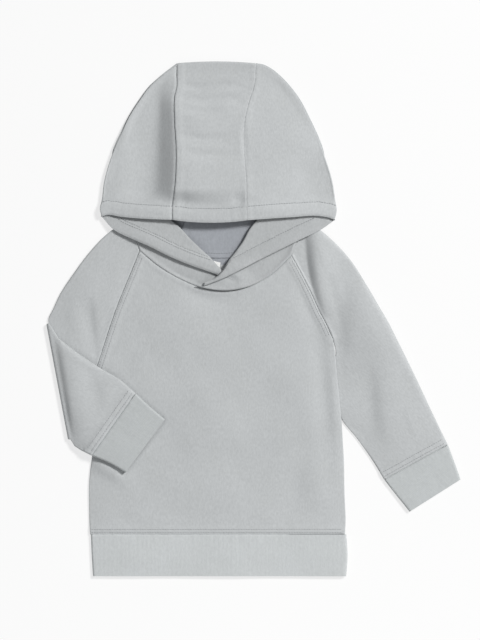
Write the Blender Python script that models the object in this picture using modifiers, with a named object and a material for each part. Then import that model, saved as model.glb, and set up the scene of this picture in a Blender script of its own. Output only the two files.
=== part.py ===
"""A toddler's hooded sweatshirt, laid flat on its back with the right sleeve folded over the front.

Every piece is cut cloth: an open surface at the middle of the wall, thickened with Solidify. Lengths are in
millimetres and become metres when a mesh is made. While the garment is worked out, x = 0 is its centre line,
y = 0 is the lower edge of the waistband, y grows towards the hood and z = 0 is the table. At the end
everything hangs from one empty, which puts the origin under the middle of the garment's box.
Left and right are the wearer's, so the left side is at +x. Neighbouring pieces share the line of their
seam, each moved back from it by half of the seam gap.
"""

from collections import namedtuple

import bmesh
import bpy
import numpy as np

MM = 0.001

CLOTH = 1.0  # wall of the sweatshirt cloth
BAND = 2.4  # wall of the cuffs and the waistband, which are doubled cloth
LABEL = 1.0
GAP = 0.3  # between pieces at a seam, and between layers that lie on each other

# Heights of the middle of a layer of cloth above the table.
TABLE_LEVEL = CLOTH / 2  # the lowest layer, which lies on the table
EDGE_LEVEL = TABLE_LEVEL + CLOTH + GAP  # a layer that lies right on the lowest one
UNDERARM_LEVEL = 2.4  # the upper layer where it turns down to the underarm seam
SEAM_LEVEL = 3.4  # the upper layer along the neck and raglan seams
FOLD_LEVEL = 3.6  # the upper layer where it turns over at a soft fold
WAIST_EDGE_LEVEL = 2.6  # the front's side edges at the waistband

CLOTH_GREY = (0.50, 0.52, 0.53)
BAND_GREY = (0.53, 0.56, 0.57)
LABEL_WHITE = (0.85, 0.85, 0.84)

# A cross section of a sleeve, cuff or band, which is a flattened tube: where its front layer starts, where
# its back layer ends and where the outside of it folds over, as (x, y). Then the height of the front layer
# at its start and at the fold, the height of the back layer, and how much the layer on top swells between.
Section = namedtuple(
    "Section",
    "front back fold start_level fold_level back_level puff",
    defaults=(SEAM_LEVEL, FOLD_LEVEL, TABLE_LEVEL, 0.0),
)


def tube(seam, fold, start_level, fold_level=FOLD_LEVEL, back_level=TABLE_LEVEL, puff=0.0):
    """A section whose two layers meet at the underarm seam."""
    return Section(seam, seam, fold, start_level, fold_level, back_level, puff)


def doubled(start, fold, floor, puff):
    """A section of a cuff or the waistband, whose lower face is at the height floor."""
    low = floor + BAND / 2
    high = low + BAND + GAP
    return Section(start, start, fold, high, high, low, puff)


UNDERARM = 5  # up to this section the two ends lie on the raglan seams, and from the next one they meet
LEFT_SLEEVE = [
    Section((83, 367.5), (86, 391), (98, 410.5)),
    Section((93.5, 348.5), (96, 366), (126, 389), puff=0.8),
    Section((105, 326), (107, 338), (150.5, 363), puff=1.4),
    Section((114.5, 305), (116, 311), (170.5, 332), puff=2.0),
    Section((123, 289), (124, 291), (184.5, 308), puff=2.2),
    Section((130, 273), (130, 273), (195.5, 289), puff=2.2),
    tube((134, 256), (204, 272), UNDERARM_LEVEL, puff=2.2),
    tube((129.5, 236), (212, 256), UNDERARM_LEVEL, puff=2.2),
    tube((131, 208), (222, 235.5), UNDERARM_LEVEL, puff=2.2),
    tube((140, 181), (233, 212.5), UNDERARM_LEVEL, puff=2.0),
    tube((159, 157), (243.5, 190), 2.6, puff=1.8),
    tube((176.5, 132), (254.5, 167), 3.0, puff=1.2),
    tube((189.5, 110.5), (262.5, 151), FOLD_LEVEL, puff=0.4),
]
RIGHT_UPPER_ARM = [
    Section((-91, 373), (-90, 393), (-103, 410.5)),
    Section((-99.5, 352), (-100, 368), (-129, 392), puff=0.8),
    Section((-109.5, 328), (-110, 340), (-149, 371), puff=1.2),
    Section((-120, 301), (-121.5, 307), (-167, 347), fold_level=3.4, puff=1.0),
    Section((-131, 268), (-132, 271), (-181.5, 325), 3.0, 3.0, puff=0.6),
    Section((-142, 234), (-142, 234), (-190.5, 306), 2.4, 2.6, puff=0.3),
    tube((-157, 196), (-195, 297), 2.4, 2.4),
    tube((-170, 157), (-195, 290), 2.4, 2.4),
]
# The elbow: the last section turns over about a level line at this height, in these steps. The forearm's
# front layer is then its lower one.
CREASE_LEVEL = 3.2
CREASE_DEGREES = [36, 72, 108, 144, 180]
RIGHT_FOREARM = [
    tube((-165, 149), (-184, 273), 4.2, 4.2, 6.4, puff=0.6),
    tube((-158, 144.5), (-162, 256), 5.0, 5.0, 7.6, puff=1.2),
    tube((-152, 141.5), (-134, 237.5), 5.8, 5.8, 8.6, puff=1.2),
    tube((-148, 139.5), (-113.5, 225.5), 6.3, 6.3, 9.2, puff=0.8),
    tube((-146, 138.5), (-95.5, 210), 6.5, 6.5, 9.6, puff=0.2),
]
LEFT_CUFF = [
    doubled((189.5, 110.5), (262.5, 151), 0, puff=0.2),
    doubled((204, 92), (270, 131), 0, puff=0.6),
    doubled((218.5, 74), (277, 111), 0, puff=0.3),
]
RIGHT_CUFF_FLOOR = 5.5  # over the front
RIGHT_CUFF = [
    doubled((-146, 138.5), (-95.5, 210), RIGHT_CUFF_FLOOR, puff=0.2),
    doubled((-126, 130), (-79, 194.5), RIGHT_CUFF_FLOOR, puff=0.6),
    doubled((-107, 119), (-62, 180), RIGHT_CUFF_FLOOR, puff=0.3),
]
WAIST_Y = 48
WAISTBAND = [
    doubled((-147, WAIST_Y), (146, WAIST_Y), 0, puff=0.3),
    doubled((-146, WAIST_Y / 2), (147.5, WAIST_Y / 2), 0, puff=0.5),
    doubled((-144.5, 0), (146, 0), 0, puff=0.3),
]

# The neck seam, as (x, y), and the shares of its length at which it has points.
FRONT_NECK = [
    (-91, 373), (-68, 354.5), (-45, 341), (-22, 331.5), (6, 327.5), (36, 333), (59, 345.5), (83, 367.5),
]
BACK_NECK = [(-90, 393), (-62, 376), (-36, 369), (0, 366), (36, 369), (62, 377), (86, 391)]
NECK_SHARES = [0, 0.07, 0.15, 0.23, 0.31, 0.385, 0.46, 0.535, 0.61, 0.69, 0.77, 0.85, 0.93, 1]
LEFT_TIP = 5  # the neck point at which the hood's left side ends, crossed over the right one
RIGHT_TIP = 8

# Side edges of the front as (x, y, level), and of the back as (x, y), from the waist up to the underarm. The
# front's left edge lies over the sleeve's tucked-in underarm.
FRONT_LEFT_SIDE = [
    (144, WAIST_Y, WAIST_EDGE_LEVEL), (145, 64, EDGE_LEVEL), (144, 88, EDGE_LEVEL), (141.5, 156, 2.7),
    (140, 180, 4.4), (138, 202, 4.7), (134.5, 236, 4.7), (132.8, 256, 4.5), (130, 273, SEAM_LEVEL),
]
FRONT_RIGHT_SIDE = [
    (-147.5, WAIST_Y, WAIST_EDGE_LEVEL), (-148.5, 70, EDGE_LEVEL), (-148.5, 110, EDGE_LEVEL),
    (-145, 140, EDGE_LEVEL), (-142.5, 185, EDGE_LEVEL), (-142, 234, 2.4),
]
BACK_LEFT_SIDE = [
    (144, WAIST_Y), (145, 64), (144, 88), (141.5, 156), (138, 181), (129, 208), (127.5, 236), (131.5, 256),
    (130, 273),
]
BACK_RIGHT_SIDE = [(-147.5, WAIST_Y), (-148.5, 70), (-148.5, 110), (-145, 140), (-142.5, 185), (-142, 234)]
SIDE_STEPS = 8
BODY_CROWN = 1.0  # how far the front rises in the middle, over what its edges give
CROWN_POWER = 3  # how evenly that rise is spread over the width
WAIST_POWER = 8  # how close to the sides the waist seam comes down to its ends' height

# A side of the hood: its outline from the corner of the opening to the centre strip; the strip's seam on
# the lower and on the upper layer, both ending at the crown; the hem, from the corner to the strip; and the
# lapel's roll and its free edge, from the corner to the centre front.
HoodSide = namedtuple("HoodSide", "outline low_seam top_seam hem roll free_edge roll_radius lift sleeve")
LEFT_HOOD = HoodSide(
    outline=[
        (132.5, 408.5), (135, 418), (133.5, 432), (131, 452.5), (122, 483.5), (116, 500), (105, 524),
        (93, 547), (82, 562), (70, 574.5), (60, 582.5), (51, 587), (42, 588.5),
    ],
    low_seam=[(36, 369), (40, 400), (42, 450), (42, 520), (42, 570)],
    top_seam=[(32, 408), (32, 430), (31.5, 456), (30, 473), (30, 523), (34.5, 543), (40, 560), (42, 570)],
    hem=[(132.5, 408.5), (127, 411), (116, 413), (81.5, 411.5), (32, 408)],
    roll=[(48, 417), (42.5, 407.5), (35, 398), (28, 385), (13, 364), (4, 350), (-4, 342), (-15, 337)],
    free_edge=[
        (132.5, 408.5), (117, 397.5), (93, 386), (70, 374.5), (47, 363), (24, 351), (1, 340), (-17.5, 333),
    ],
    roll_radius=1.3,
    lift=3.6,
    sleeve=LEFT_SLEEVE,
)
RIGHT_HOOD = HoodSide(
    outline=[
        (-134.5, 412.5), (-136.5, 420), (-134.5, 432), (-132.5, 452.5), (-122, 489), (-111.5, 512),
        (-106, 524), (-91, 548), (-80.5, 562), (-66.5, 574.5), (-57, 582), (-48, 588.5),
    ],
    low_seam=[(-36, 369), (-43, 392), (-40, 402), (-37, 410), (-37, 440), (-42, 510), (-48, 570)],
    top_seam=[
        (-53, 408.5), (-53, 425), (-50.5, 442), (-48.5, 483), (-50.5, 524), (-50.5, 550), (-48, 562),
        (-48, 570),
    ],
    hem=[(-134.5, 412.5), (-127, 414.5), (-114, 412.5), (-79.5, 409.5), (-53, 408.5)],
    roll=[(-62, 418), (-54, 408), (-45, 400), (-33, 387), (-22, 376.5), (-10, 365), (3, 351), (16, 341)],
    free_edge=[
        (-134.5, 412.5), (-122, 398.5), (-95, 385), (-79, 378), (-56, 366.5), (-33, 357), (-1, 345.5),
        (20, 336),
    ],
    roll_radius=1.0,
    lift=0.0,
    sleeve=RIGHT_UPPER_ARM,
)
HEM_MIDDLE = -3.0  # how far the hem's middle dips below its line across the centre strip
CROWN_BULGE = 2.0  # how far the crown's fold runs above its ends, at the centre strip
HOOD_RISE = 7.0  # how far the upper layer rises in the middle of the hem, over its sides
HOOD_FADE = 170.0  # length over which that rise dies out, from the hem to the crown
HEM_Y = 407.0
CORNER_TOP = 5.9  # middle of the upper layer at the corners of the opening
CROWN_TOP = 4.0  # and at the crown
PLEAT_SHARE = 0.43  # share of the outline, from the corner, at which the pleat behind the lapel dies out
GATHERED = (2.0, 2.2, 3.4, 3.4)  # heights there of the under part, the roll's two sides and the lapel's edge
LAPEL_LEVEL = 5.7  # middle of the lapel at its free edge
CORNER_LEVEL = 4.3  # and at the corner of the opening
ROLL_LEVEL = 4.5  # middle of the hood's under part, where it rolls over into the lapel
TIP_LEVEL = 3.6  # and where the lapel ends, under the other one
LIFT_FROM, LIFT_TO = 50.0, 24.0  # x over which the left side climbs onto the right one

LABEL_AREA = ((-24, 352.5), (2, 363.5))


# ---- lines ----


def spline(points, knots, at):
    """Points of a smooth line that passes the given points at the given knots."""
    points = np.asarray(points, float)
    knots = np.asarray(knots, float)
    slopes = np.gradient(points, knots, axis=0)
    at = np.clip(np.atleast_1d(np.asarray(at, float)), knots[0], knots[-1])
    left = np.clip(np.searchsorted(knots, at, side="right") - 1, 0, len(knots) - 2)
    width = (knots[left + 1] - knots[left])[:, None]
    t = (at[:, None] - knots[left][:, None]) / width
    return (
        (2 * t**3 - 3 * t**2 + 1) * points[left]
        + (t**3 - 2 * t**2 + t) * width * slopes[left]
        + (3 * t**2 - 2 * t**3) * points[left + 1]
        + (t**3 - t**2) * width * slopes[left + 1]
    )


def along(points, shares):
    """Points at the given shares of the length of a smooth line through the given points."""
    steps = np.linalg.norm(np.diff(np.asarray(points, float)[:, :2], axis=0), axis=1)
    knots = np.concatenate([[0], np.cumsum(steps)]) / steps.sum()
    return spline(points, knots, shares)


def between(start, end, shares):
    """Points at the given shares of the straight line from start to end."""
    shares = np.asarray(shares)[:, None]
    return np.asarray(start, float) * (1 - shares) + np.asarray(end, float) * shares


def straight(start, end, count):
    return between(start, end, np.linspace(0, 1, count))


def unit(vector):
    return vector / np.linalg.norm(vector)


def fade(value):
    """1 at 0, falling smoothly to 0 at 1."""
    value = np.clip(value, 0, 1)
    return 1 - value * value * (3 - 2 * value)


def raised(points, level):
    """Plan points (x, y) with a height, one for all or one for each."""
    points = np.asarray(points, float)
    return np.column_stack([points[:, :2], np.broadcast_to(level, len(points))])


def sideways(line, distance):
    """A line moved to its left in plan, looking along it from above."""
    tangent = np.gradient(line[:, :2], axis=0)
    tangent /= np.linalg.norm(tangent, axis=1)[:, None]
    moved = line.copy()
    moved[:, 0] -= tangent[:, 1] * distance
    moved[:, 1] += tangent[:, 0] * distance
    return moved


def turn(centre, outward, from_level, to_level, angles):
    """Points of an arc that bulges outward: -90 degrees is at from_level and 90 degrees is at to_level."""
    angles = np.radians(np.asarray(angles, float))
    radius = (to_level - from_level) / 2
    plan = centre + abs(radius) * np.cos(angles)[:, None] * outward
    return np.column_stack([plan, (from_level + to_level) / 2 + radius * np.sin(angles)])


# ---- sleeves, cuffs and waistband: rings of flattened tubes ----

ACROSS = 5  # points across each layer of a ring
TURN = [-45, 0, 45]  # degrees of a fold's points between its two ends
SEAM_STEPS = [0.015, 0.03]  # shares of the layer at which a raglan section has the points of a seam's turn


def ring(row, joined, wall=CLOTH):
    """One section of a sleeve, from the front layer's start, over the fold and back to the back layer's end.

    joined: the two layers turn towards each other to meet at the underarm seam. Else they stay apart."""
    front, back, fold = (np.asarray(point, float) for point in row[:3])
    outward = unit(fold - (front + back) / 2)
    fold_radius = abs(row.fold_level - row.back_level) / 2
    centre = fold - (fold_radius + wall / 2) * outward
    share = np.linspace(0, 1, ACROSS + 2)
    bulge = row.puff * np.sin(np.pi * share)
    front_on_top = row.fold_level > row.back_level
    front_levels = np.linspace(row.start_level, row.fold_level, ACROSS + 2) + bulge * front_on_top
    back_levels = row.back_level + bulge * (not front_on_top)
    fold_points = turn(centre, outward, row.back_level, row.fold_level, TURN[::-1])
    if not joined:
        lead = np.concatenate([[0, *SEAM_STEPS], share[1:]])
        front_layer = raised(between(front, centre, lead), np.interp(lead, share, front_levels))
        back_layer = raised(between(back, centre, lead), np.interp(lead, share, back_levels))
        return np.vstack([front_layer, fold_points, back_layer[::-1]])
    seam_radius = abs(row.start_level - row.back_level) / 2
    start = front + (seam_radius + wall / 2) * outward
    front_layer = raised(between(start, centre, share), front_levels)
    back_layer = raised(between(start, centre, share), back_levels)[::-1]
    slit = np.degrees(GAP / seam_radius) / 2
    upper = turn(start, -outward, row.back_level, row.start_level, [slit, 45])
    lower = turn(start, -outward, row.back_level, row.start_level, [-45, -slit])
    return np.vstack([upper, front_layer, fold_points, back_layer, lower])


def closed_ring(row, wall):
    """One section of a cuff or band: a whole flattened tube."""
    front, _, fold = (np.asarray(point, float) for point in row[:3])
    outward = unit(fold - front)
    radius = abs(row.fold_level - row.back_level) / 2
    start = front + (radius + wall / 2) * outward
    centre = fold - (radius + wall / 2) * outward
    share = np.linspace(0, 1, ACROSS + 2)
    front_layer = raised(between(start, centre, share), row.fold_level + row.puff * np.sin(np.pi * share))
    back_layer = raised(between(centre, start, share), row.back_level)
    fold_points = turn(centre, outward, row.back_level, row.fold_level, TURN[::-1])
    start_points = turn(start, -outward, row.back_level, row.fold_level, TURN)
    return np.vstack([front_layer, fold_points, back_layer, start_points])


def seam_moved(rows, distance):
    """Sleeve sections with their raglan ends moved away from the body, by half the seam gap."""
    seam = rows[: UNDERARM + 1]
    fronts = sideways(np.array([row.front for row in seam], float), distance)
    backs = sideways(np.array([row.back for row in seam], float), distance)
    moved = [row._replace(front=tuple(f), back=tuple(b)) for row, f, b in zip(seam, fronts, backs)]
    return moved + list(rows[UNDERARM + 1 :])


def neck_moved(surface, distance):
    """A sleeve's surface with its neck edge, the first row, moved away from the hood."""
    surface = surface.copy()
    away = unit((surface[1] - surface[0])[:, :2].mean(axis=0))
    surface[0, :, :2] += distance * away
    return surface


def left_sleeve():
    rows = seam_moved(LEFT_SLEEVE, GAP / 2)
    surface = np.array([ring(row, i > UNDERARM) for i, row in enumerate(rows)])
    return neck_moved(surface, GAP / 2)


def right_sleeve():
    """The upper arm, the crease at the elbow, where the rings turn over about a level line, and the forearm."""
    rows = seam_moved(RIGHT_UPPER_ARM, -GAP / 2)
    rings = [ring(row, i > UNDERARM) for i, row in enumerate(rows)]
    last = rings[-1]
    crease = unit(np.subtract(rows[-1].fold, rows[-1].front))
    outward = np.array([-crease[1], crease[0]])
    for angle in np.radians(CREASE_DEGREES):
        depth = CREASE_LEVEL - last[:, 2]
        plan = last[:, :2] + (depth * np.sin(angle))[:, None] * outward
        rings.append(np.column_stack([plan, CREASE_LEVEL - depth * np.cos(angle)]))
    rings += [ring(row, True) for row in RIGHT_FOREARM]
    return neck_moved(np.array(rings), GAP / 2)


def band(rows, wall):
    """A cuff or the waistband, its first ring moved clear of what it is sewn to."""
    surface = np.array([closed_ring(row, wall) for row in rows])
    surface[0] += unit((surface[1] - surface[0]).mean(axis=0)) * GAP
    return surface


# ---- front and back ----


def patch(bottom, top, left, right):
    """The smooth surface between four edges. left and right run upwards, bottom and top run to the right."""
    across = np.linspace(0, 1, len(bottom))[None, :, None]
    up = np.linspace(0, 1, len(left))[:, None, None]
    return (
        (1 - up) * bottom[None]
        + up * top[None]
        + (1 - across) * left[:, None]
        + across * right[:, None]
        - (1 - up) * ((1 - across) * bottom[0] + across * bottom[-1])
        - up * ((1 - across) * top[0] + across * top[-1])
    )


def body_edge(side, raglan, level, inwards):
    """A side edge of the front or back, up to the underarm and on along the raglan seam to the neck."""
    lower = along(side, np.linspace(0, 1, SIDE_STEPS + 1))
    upper = raised(raglan[::-1], level)
    lower = lower if lower.shape[1] == 3 else raised(lower, TABLE_LEVEL)
    upper = sideways(upper, inwards)
    lower[-1, :2] = upper[0, :2]
    return np.vstack([lower[:-1], upper])


def body_panel(neck, neck_level, left_edge, right_edge, waist_levels):
    """left_edge and right_edge are those of the patch, at -x and +x."""
    top = sideways(raised(along(neck, NECK_SHARES), neck_level), -GAP / 2)
    corner_shift = top[0] - raised(along(neck, [0]), neck_level)[0]
    top[0] = left_edge[-1] + corner_shift
    corner_shift = top[-1] - raised(along(neck, [1]), neck_level)[0]
    top[-1] = right_edge[-1] + corner_shift
    left_edge[-1] = top[0]
    right_edge[-1] = top[-1]
    share = np.array(NECK_SHARES)[:, None]
    bottom = left_edge[0] * (1 - share) + right_edge[0] * share
    bottom[:, 2] = waist_levels
    return patch(bottom, top, left_edge, right_edge)


def front():
    share = np.array(NECK_SHARES)
    left_raglan = [row.front for row in LEFT_SLEEVE[: UNDERARM + 1]]
    right_raglan = [row.front for row in RIGHT_UPPER_ARM[: UNDERARM + 1]]
    right_levels = [row.start_level for row in RIGHT_UPPER_ARM[: UNDERARM + 1]][::-1]
    waist_rise = WAISTBAND[0].fold_level - WAIST_EDGE_LEVEL
    surface = body_panel(
        FRONT_NECK,
        SEAM_LEVEL,
        body_edge(FRONT_RIGHT_SIDE, right_raglan, right_levels, -GAP / 2),
        body_edge(FRONT_LEFT_SIDE, left_raglan, SEAM_LEVEL, GAP / 2),
        WAIST_EDGE_LEVEL + waist_rise * (1 - np.abs(2 * share - 1) ** WAIST_POWER),
    )
    rows, columns = surface.shape[:2]
    across = np.linspace(0, 1, columns)[None, :]
    up = np.linspace(0, 1, rows)[:, None]
    surface[:, :, 2] += BODY_CROWN * (1 - np.abs(2 * across - 1) ** CROWN_POWER) * np.sin(np.pi * up)
    return surface


def back():
    left_raglan = [row.back for row in LEFT_SLEEVE[: UNDERARM + 1]]
    right_raglan = [row.back for row in RIGHT_UPPER_ARM[: UNDERARM + 1]]
    return body_panel(
        BACK_NECK,
        TABLE_LEVEL,
        body_edge(BACK_RIGHT_SIDE, right_raglan, TABLE_LEVEL, -GAP / 2),
        body_edge(BACK_LEFT_SIDE, left_raglan, TABLE_LEVEL, GAP / 2),
        TABLE_LEVEL,
    )


# ---- hood ----

HOOD_ROWS = [0, 0.06, 0.14, 0.23, 0.33, 0.43, 0.54, 0.65, 0.76, 0.86, 0.93, 1]
LOW_POINTS, UNDER_POINTS, LAPEL_POINTS, TOP_POINTS = 5, 4, 5, 5
SLEEVE_TOP_POINTS = 4
DOME_INSET = 3  # the dome starts this far inside the outline
TIP_SPREAD = 0.4  # the share of the lapel, from its middle on, over which its tip's own heights set in
TIP_RADIUS = 0.85  # radius of the lapel's roll at its tip
TIP_FREE_LEVEL = 5.3  # height of the lapel's free edge at its tip
CORNER_SPREAD = 0.12  # the share of a length over which the shape of the opening's corner fades
LOW_BEND_SPREAD = 0.3  # the share of the outline over which the neck seam's bend fades in the lower layer
NECK_SHARE = 0.39  # where the hood's side starts on its half of the back neck line
OUTLINE_STEP = 0.005  # the share of the outline on each side of a point that gives the direction there
GATHER_INSET = 3  # the rolled edge runs out this far inside the outline
DOME_FROM = 565  # below this height of the page the strip's upper layer follows the dome
BULGE_FROM = 580  # the crown's bulge is full from this height of the page up
BULGE_DEPTH = 40  # and it dies out this much lower


def half_width(side, y):
    outline = np.array(side.outline)
    return np.interp(y, outline[:, 1], np.abs(outline[:, 0]))


def top_level(x, y):
    """Height of the hood's upper layer, a low dome that dies out at the outline and the crown."""
    x, y = np.asarray(x, float), np.asarray(y, float)
    reach = np.where(x > 0, half_width(LEFT_HOOD, y), half_width(RIGHT_HOOD, y)) - DOME_INSET
    dome = np.clip(1 - (x / reach) ** 2, 0, 1)
    up = np.clip((y - HEM_Y) / HOOD_FADE, 0, 1)
    return CORNER_TOP + (CROWN_TOP - CORNER_TOP) * up + HOOD_RISE * dome * (1 - up**2)


def lapel_row(neck, roll, free, under_level, roll_level, free_level, radius):
    """From the neck seam up the hood's under part, round the roll, and back along the lapel to its edge."""
    outward = unit(roll - (neck + free) / 2)
    centre = roll - (radius + CLOTH / 2) * outward
    share = np.linspace(0, 1, UNDER_POINTS)
    under = raised(straight(neck, centre, UNDER_POINTS), under_level + (roll_level - under_level) * share)
    over_level = roll_level + 2 * radius
    share = np.linspace(0, 1, LAPEL_POINTS)
    lapel = raised(straight(centre, free, LAPEL_POINTS), over_level + (free_level - over_level) * share)
    return np.vstack([under, turn(centre, outward, roll_level, over_level, TURN), lapel])


def neck_line(side, tip):
    """The neck seam of one side of the hood: from its neck point, down the sleeve's top and on to the tip."""
    top = ring(side.sleeve[0], False)
    outward = unit(np.subtract(side.sleeve[0].fold, np.add(side.sleeve[0].front, side.sleeve[0].back) / 2))
    radius = abs(side.sleeve[0].fold_level - side.sleeve[0].back_level) / 2
    point = np.asarray(side.sleeve[0].fold) - (radius + CLOTH / 2) * outward
    neck = raised(along(FRONT_NECK, NECK_SHARES), SEAM_LEVEL)
    neck = neck[tip:][::-1] if tip == LEFT_TIP else neck[: tip + 1]
    sleeve_top = straight([*point, side.sleeve[0].fold_level], neck[0], SLEEVE_TOP_POINTS)
    return np.vstack([sleeve_top[:-1], neck]), point, outward


def hood_side(side, tip):
    """Two surfaces of one side of the hood: the main one from the corner to the crown, and the lapel."""
    sign = 1 if tip == LEFT_TIP else -1
    neck, neck_point, neck_outward = neck_line(side, tip)
    neck = sideways(neck, -sign * GAP / 2)
    neck_point = neck_point + np.array([-sign * 2 * GAP, GAP])
    neck[0, :2] = neck_point
    shares = np.concatenate([[0], np.cumsum(np.linalg.norm(np.diff(neck[:, :2], axis=0), axis=1))])
    shares = shares / shares[-1]
    roll = along(side.roll, shares)
    free = along(side.free_edge, shares)
    lift = side.lift * fade((neck[:, 0] - LIFT_TO) / (LIFT_FROM - LIFT_TO))
    free_lift = side.lift * fade((free[:, 0] - LIFT_TO) / (LIFT_FROM - LIFT_TO))
    end = 1 - fade((shares - 0.5) / TIP_SPREAD)
    corner = fade(shares / CORNER_SPREAD)
    roll_levels = ROLL_LEVEL + (TIP_LEVEL - ROLL_LEVEL) * end + lift
    radii = side.roll_radius + (TIP_RADIUS - side.roll_radius) * end
    free_levels = LAPEL_LEVEL + (TIP_FREE_LEVEL - LAPEL_LEVEL) * end + (CORNER_LEVEL - LAPEL_LEVEL) * corner
    free_levels = free_levels + free_lift
    neck_levels = neck[:, 2] + lift
    lapel = np.array(
        [
            lapel_row(neck[i, :2], roll[i], free[i], neck_levels[i], roll_levels[i], free_levels[i], radii[i])
            for i in range(len(neck))
        ]
    )

    v = np.array(HOOD_ROWS)
    rim = along(side.outline, v)
    ahead = along(side.outline, np.clip(v + OUTLINE_STEP, 0, 1))
    tangent = ahead - along(side.outline, np.clip(v - OUTLINE_STEP, 0, 1))
    normal = np.column_stack([tangent[:, 1], -tangent[:, 0]]) * sign
    normal /= np.linalg.norm(normal, axis=1)[:, None]
    normal[-1] = (0, 1)
    gathered = rim[np.searchsorted(v, PLEAT_SHARE)]
    low_seam = along(side.low_seam, v)
    top_seam = along(side.top_seam, v)
    half_neck = BACK_NECK[3:] if sign > 0 else BACK_NECK[3::-1]
    low_bend = along(half_neck, np.linspace(NECK_SHARE, 1, LOW_POINTS - 1))
    low_bend[:, 1] += 2 * GAP
    low_edge = np.vstack([low_bend, neck_point])
    low_edge[0] = side.low_seam[0]
    hem = along(side.hem, np.linspace(0, 1, TOP_POINTS))
    start_row = lapel[0]
    start_levels = start_row[[0, UNDER_POINTS - 1, UNDER_POINTS + len(TURN), -1], 2]
    rows = []
    for i, share in enumerate(v):
        pleat = fade(share / PLEAT_SHARE)
        slide = np.clip(share / PLEAT_SHARE, 0, 1)
        inner = neck_point * (1 - slide) + gathered * slide
        inner_outward = unit(neck_outward * (1 - slide) + normal[i] * slide)
        run_out = gathered - GATHER_INSET * normal[i]
        roll_centre = start_row[UNDER_POINTS - 1, :2] * (1 - slide) + run_out * slide
        row_levels = start_levels * (1 - slide) + np.array(GATHERED) * slide
        under_level, roll_level, over_level, free_level = row_levels
        under_rise = np.linspace(under_level, roll_level, UNDER_POINTS)
        over_rise = np.linspace(over_level, free_level, LAPEL_POINTS)
        outer_radius = (CORNER_TOP - free_level) / 2
        outer = rim[i] - (outer_radius + CLOTH / 2) * normal[i]
        if i == 0:
            outer = start_row[-1, :2]
        roll_outward = unit(roll_centre - (inner + outer) / 2)
        low_part = raised(straight(low_seam[i], inner, LOW_POINTS), TABLE_LEVEL)
        bend = low_edge - straight(low_edge[0], low_edge[-1], LOW_POINTS)
        low_part[:, :2] += bend * fade(share / LOW_BEND_SPREAD)
        pleated = [
            low_part,
            turn(inner, inner_outward, TABLE_LEVEL, under_level, TURN),
            raised(straight(inner, roll_centre, UNDER_POINTS), under_rise),
            turn(roll_centre, roll_outward, roll_level, over_level, TURN),
            raised(straight(roll_centre, outer, LAPEL_POINTS), over_rise),
            turn(outer, normal[i], free_level, CORNER_TOP, TURN),
        ]
        middle = sum(len(part) for part in pleated[1:])
        edge = rim[i] - CLOTH / 2 * normal[i]
        edge_top = float(top_level(edge[0], edge[1]))
        radius = (edge_top - TABLE_LEVEL) / 2
        plain_centre = edge - radius * normal[i]
        plain = [
            raised(straight(low_seam[i], plain_centre, LOW_POINTS), TABLE_LEVEL),
            turn(plain_centre, normal[i], TABLE_LEVEL, edge_top, np.linspace(-90, 90, middle + 2)[1:-1]),
        ]
        outer_end = outer * pleat + plain_centre * (1 - pleat)
        top_part = straight(outer_end, top_seam[i], TOP_POINTS)
        bend = hem - straight(hem[0], hem[-1], TOP_POINTS)
        top_part += bend * fade(share / CORNER_SPREAD)
        top_part = raised(top_part, top_level(top_part[:, 0], top_part[:, 1]))
        rest = np.vstack(pleated) * pleat + np.vstack(plain) * (1 - pleat)
        if i == 0:
            first = LOW_POINTS + len(TURN)
            rest[first : first + len(start_row)] = start_row
        rows.append(np.vstack([rest, top_part]))
    return np.array(rows), lapel


def strip_edge(main):
    """The seam of the centre strip: up the side's first column, across its last row, down its last column."""
    return np.vstack([main[:-1, 0], main[-1], main[-2::-1, -1]])


def hood_centre(left_main, right_main):
    """The strip between the two sides of the hood, from the back of the neck over the crown to the hem."""
    left, right = strip_edge(left_main), strip_edge(right_main)
    left[:, 0] -= GAP
    right[:, 0] += GAP
    across = np.linspace(0, 1, 6)[None, :, None]
    surface = right[:, None] * (1 - across) + left[:, None] * across
    bulge = 1 - (2 * across[..., 0] - 1) ** 2
    count = len(left_main)
    on_top = np.arange(len(left)) >= len(left) - count
    on_dome = on_top[:, None] & (surface[:, :, 1] < DOME_FROM)
    surface[:, :, 2] = np.where(on_dome, top_level(surface[:, :, 0], surface[:, :, 1]), surface[:, :, 2])
    crown = fade((BULGE_FROM - surface[:, :, 1]) / BULGE_DEPTH)
    surface[:, :, 1] += CROWN_BULGE * bulge * crown
    surface[-1, :, 1] += HEM_MIDDLE * bulge[0]
    surface[0, :, 1] += (BACK_NECK[3][1] - BACK_NECK[4][1]) * bulge[0] + GAP
    return surface


# ---- objects ----


def material(name, colour):
    made = bpy.data.materials.new(name)
    made.use_nodes = True
    shader = made.node_tree.nodes["Principled BSDF"]
    shader.inputs["Base Color"].default_value = (*colour, 1)
    shader.inputs["Roughness"].default_value = 0.9
    shader.inputs["Metallic"].default_value = 0
    return made


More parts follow.
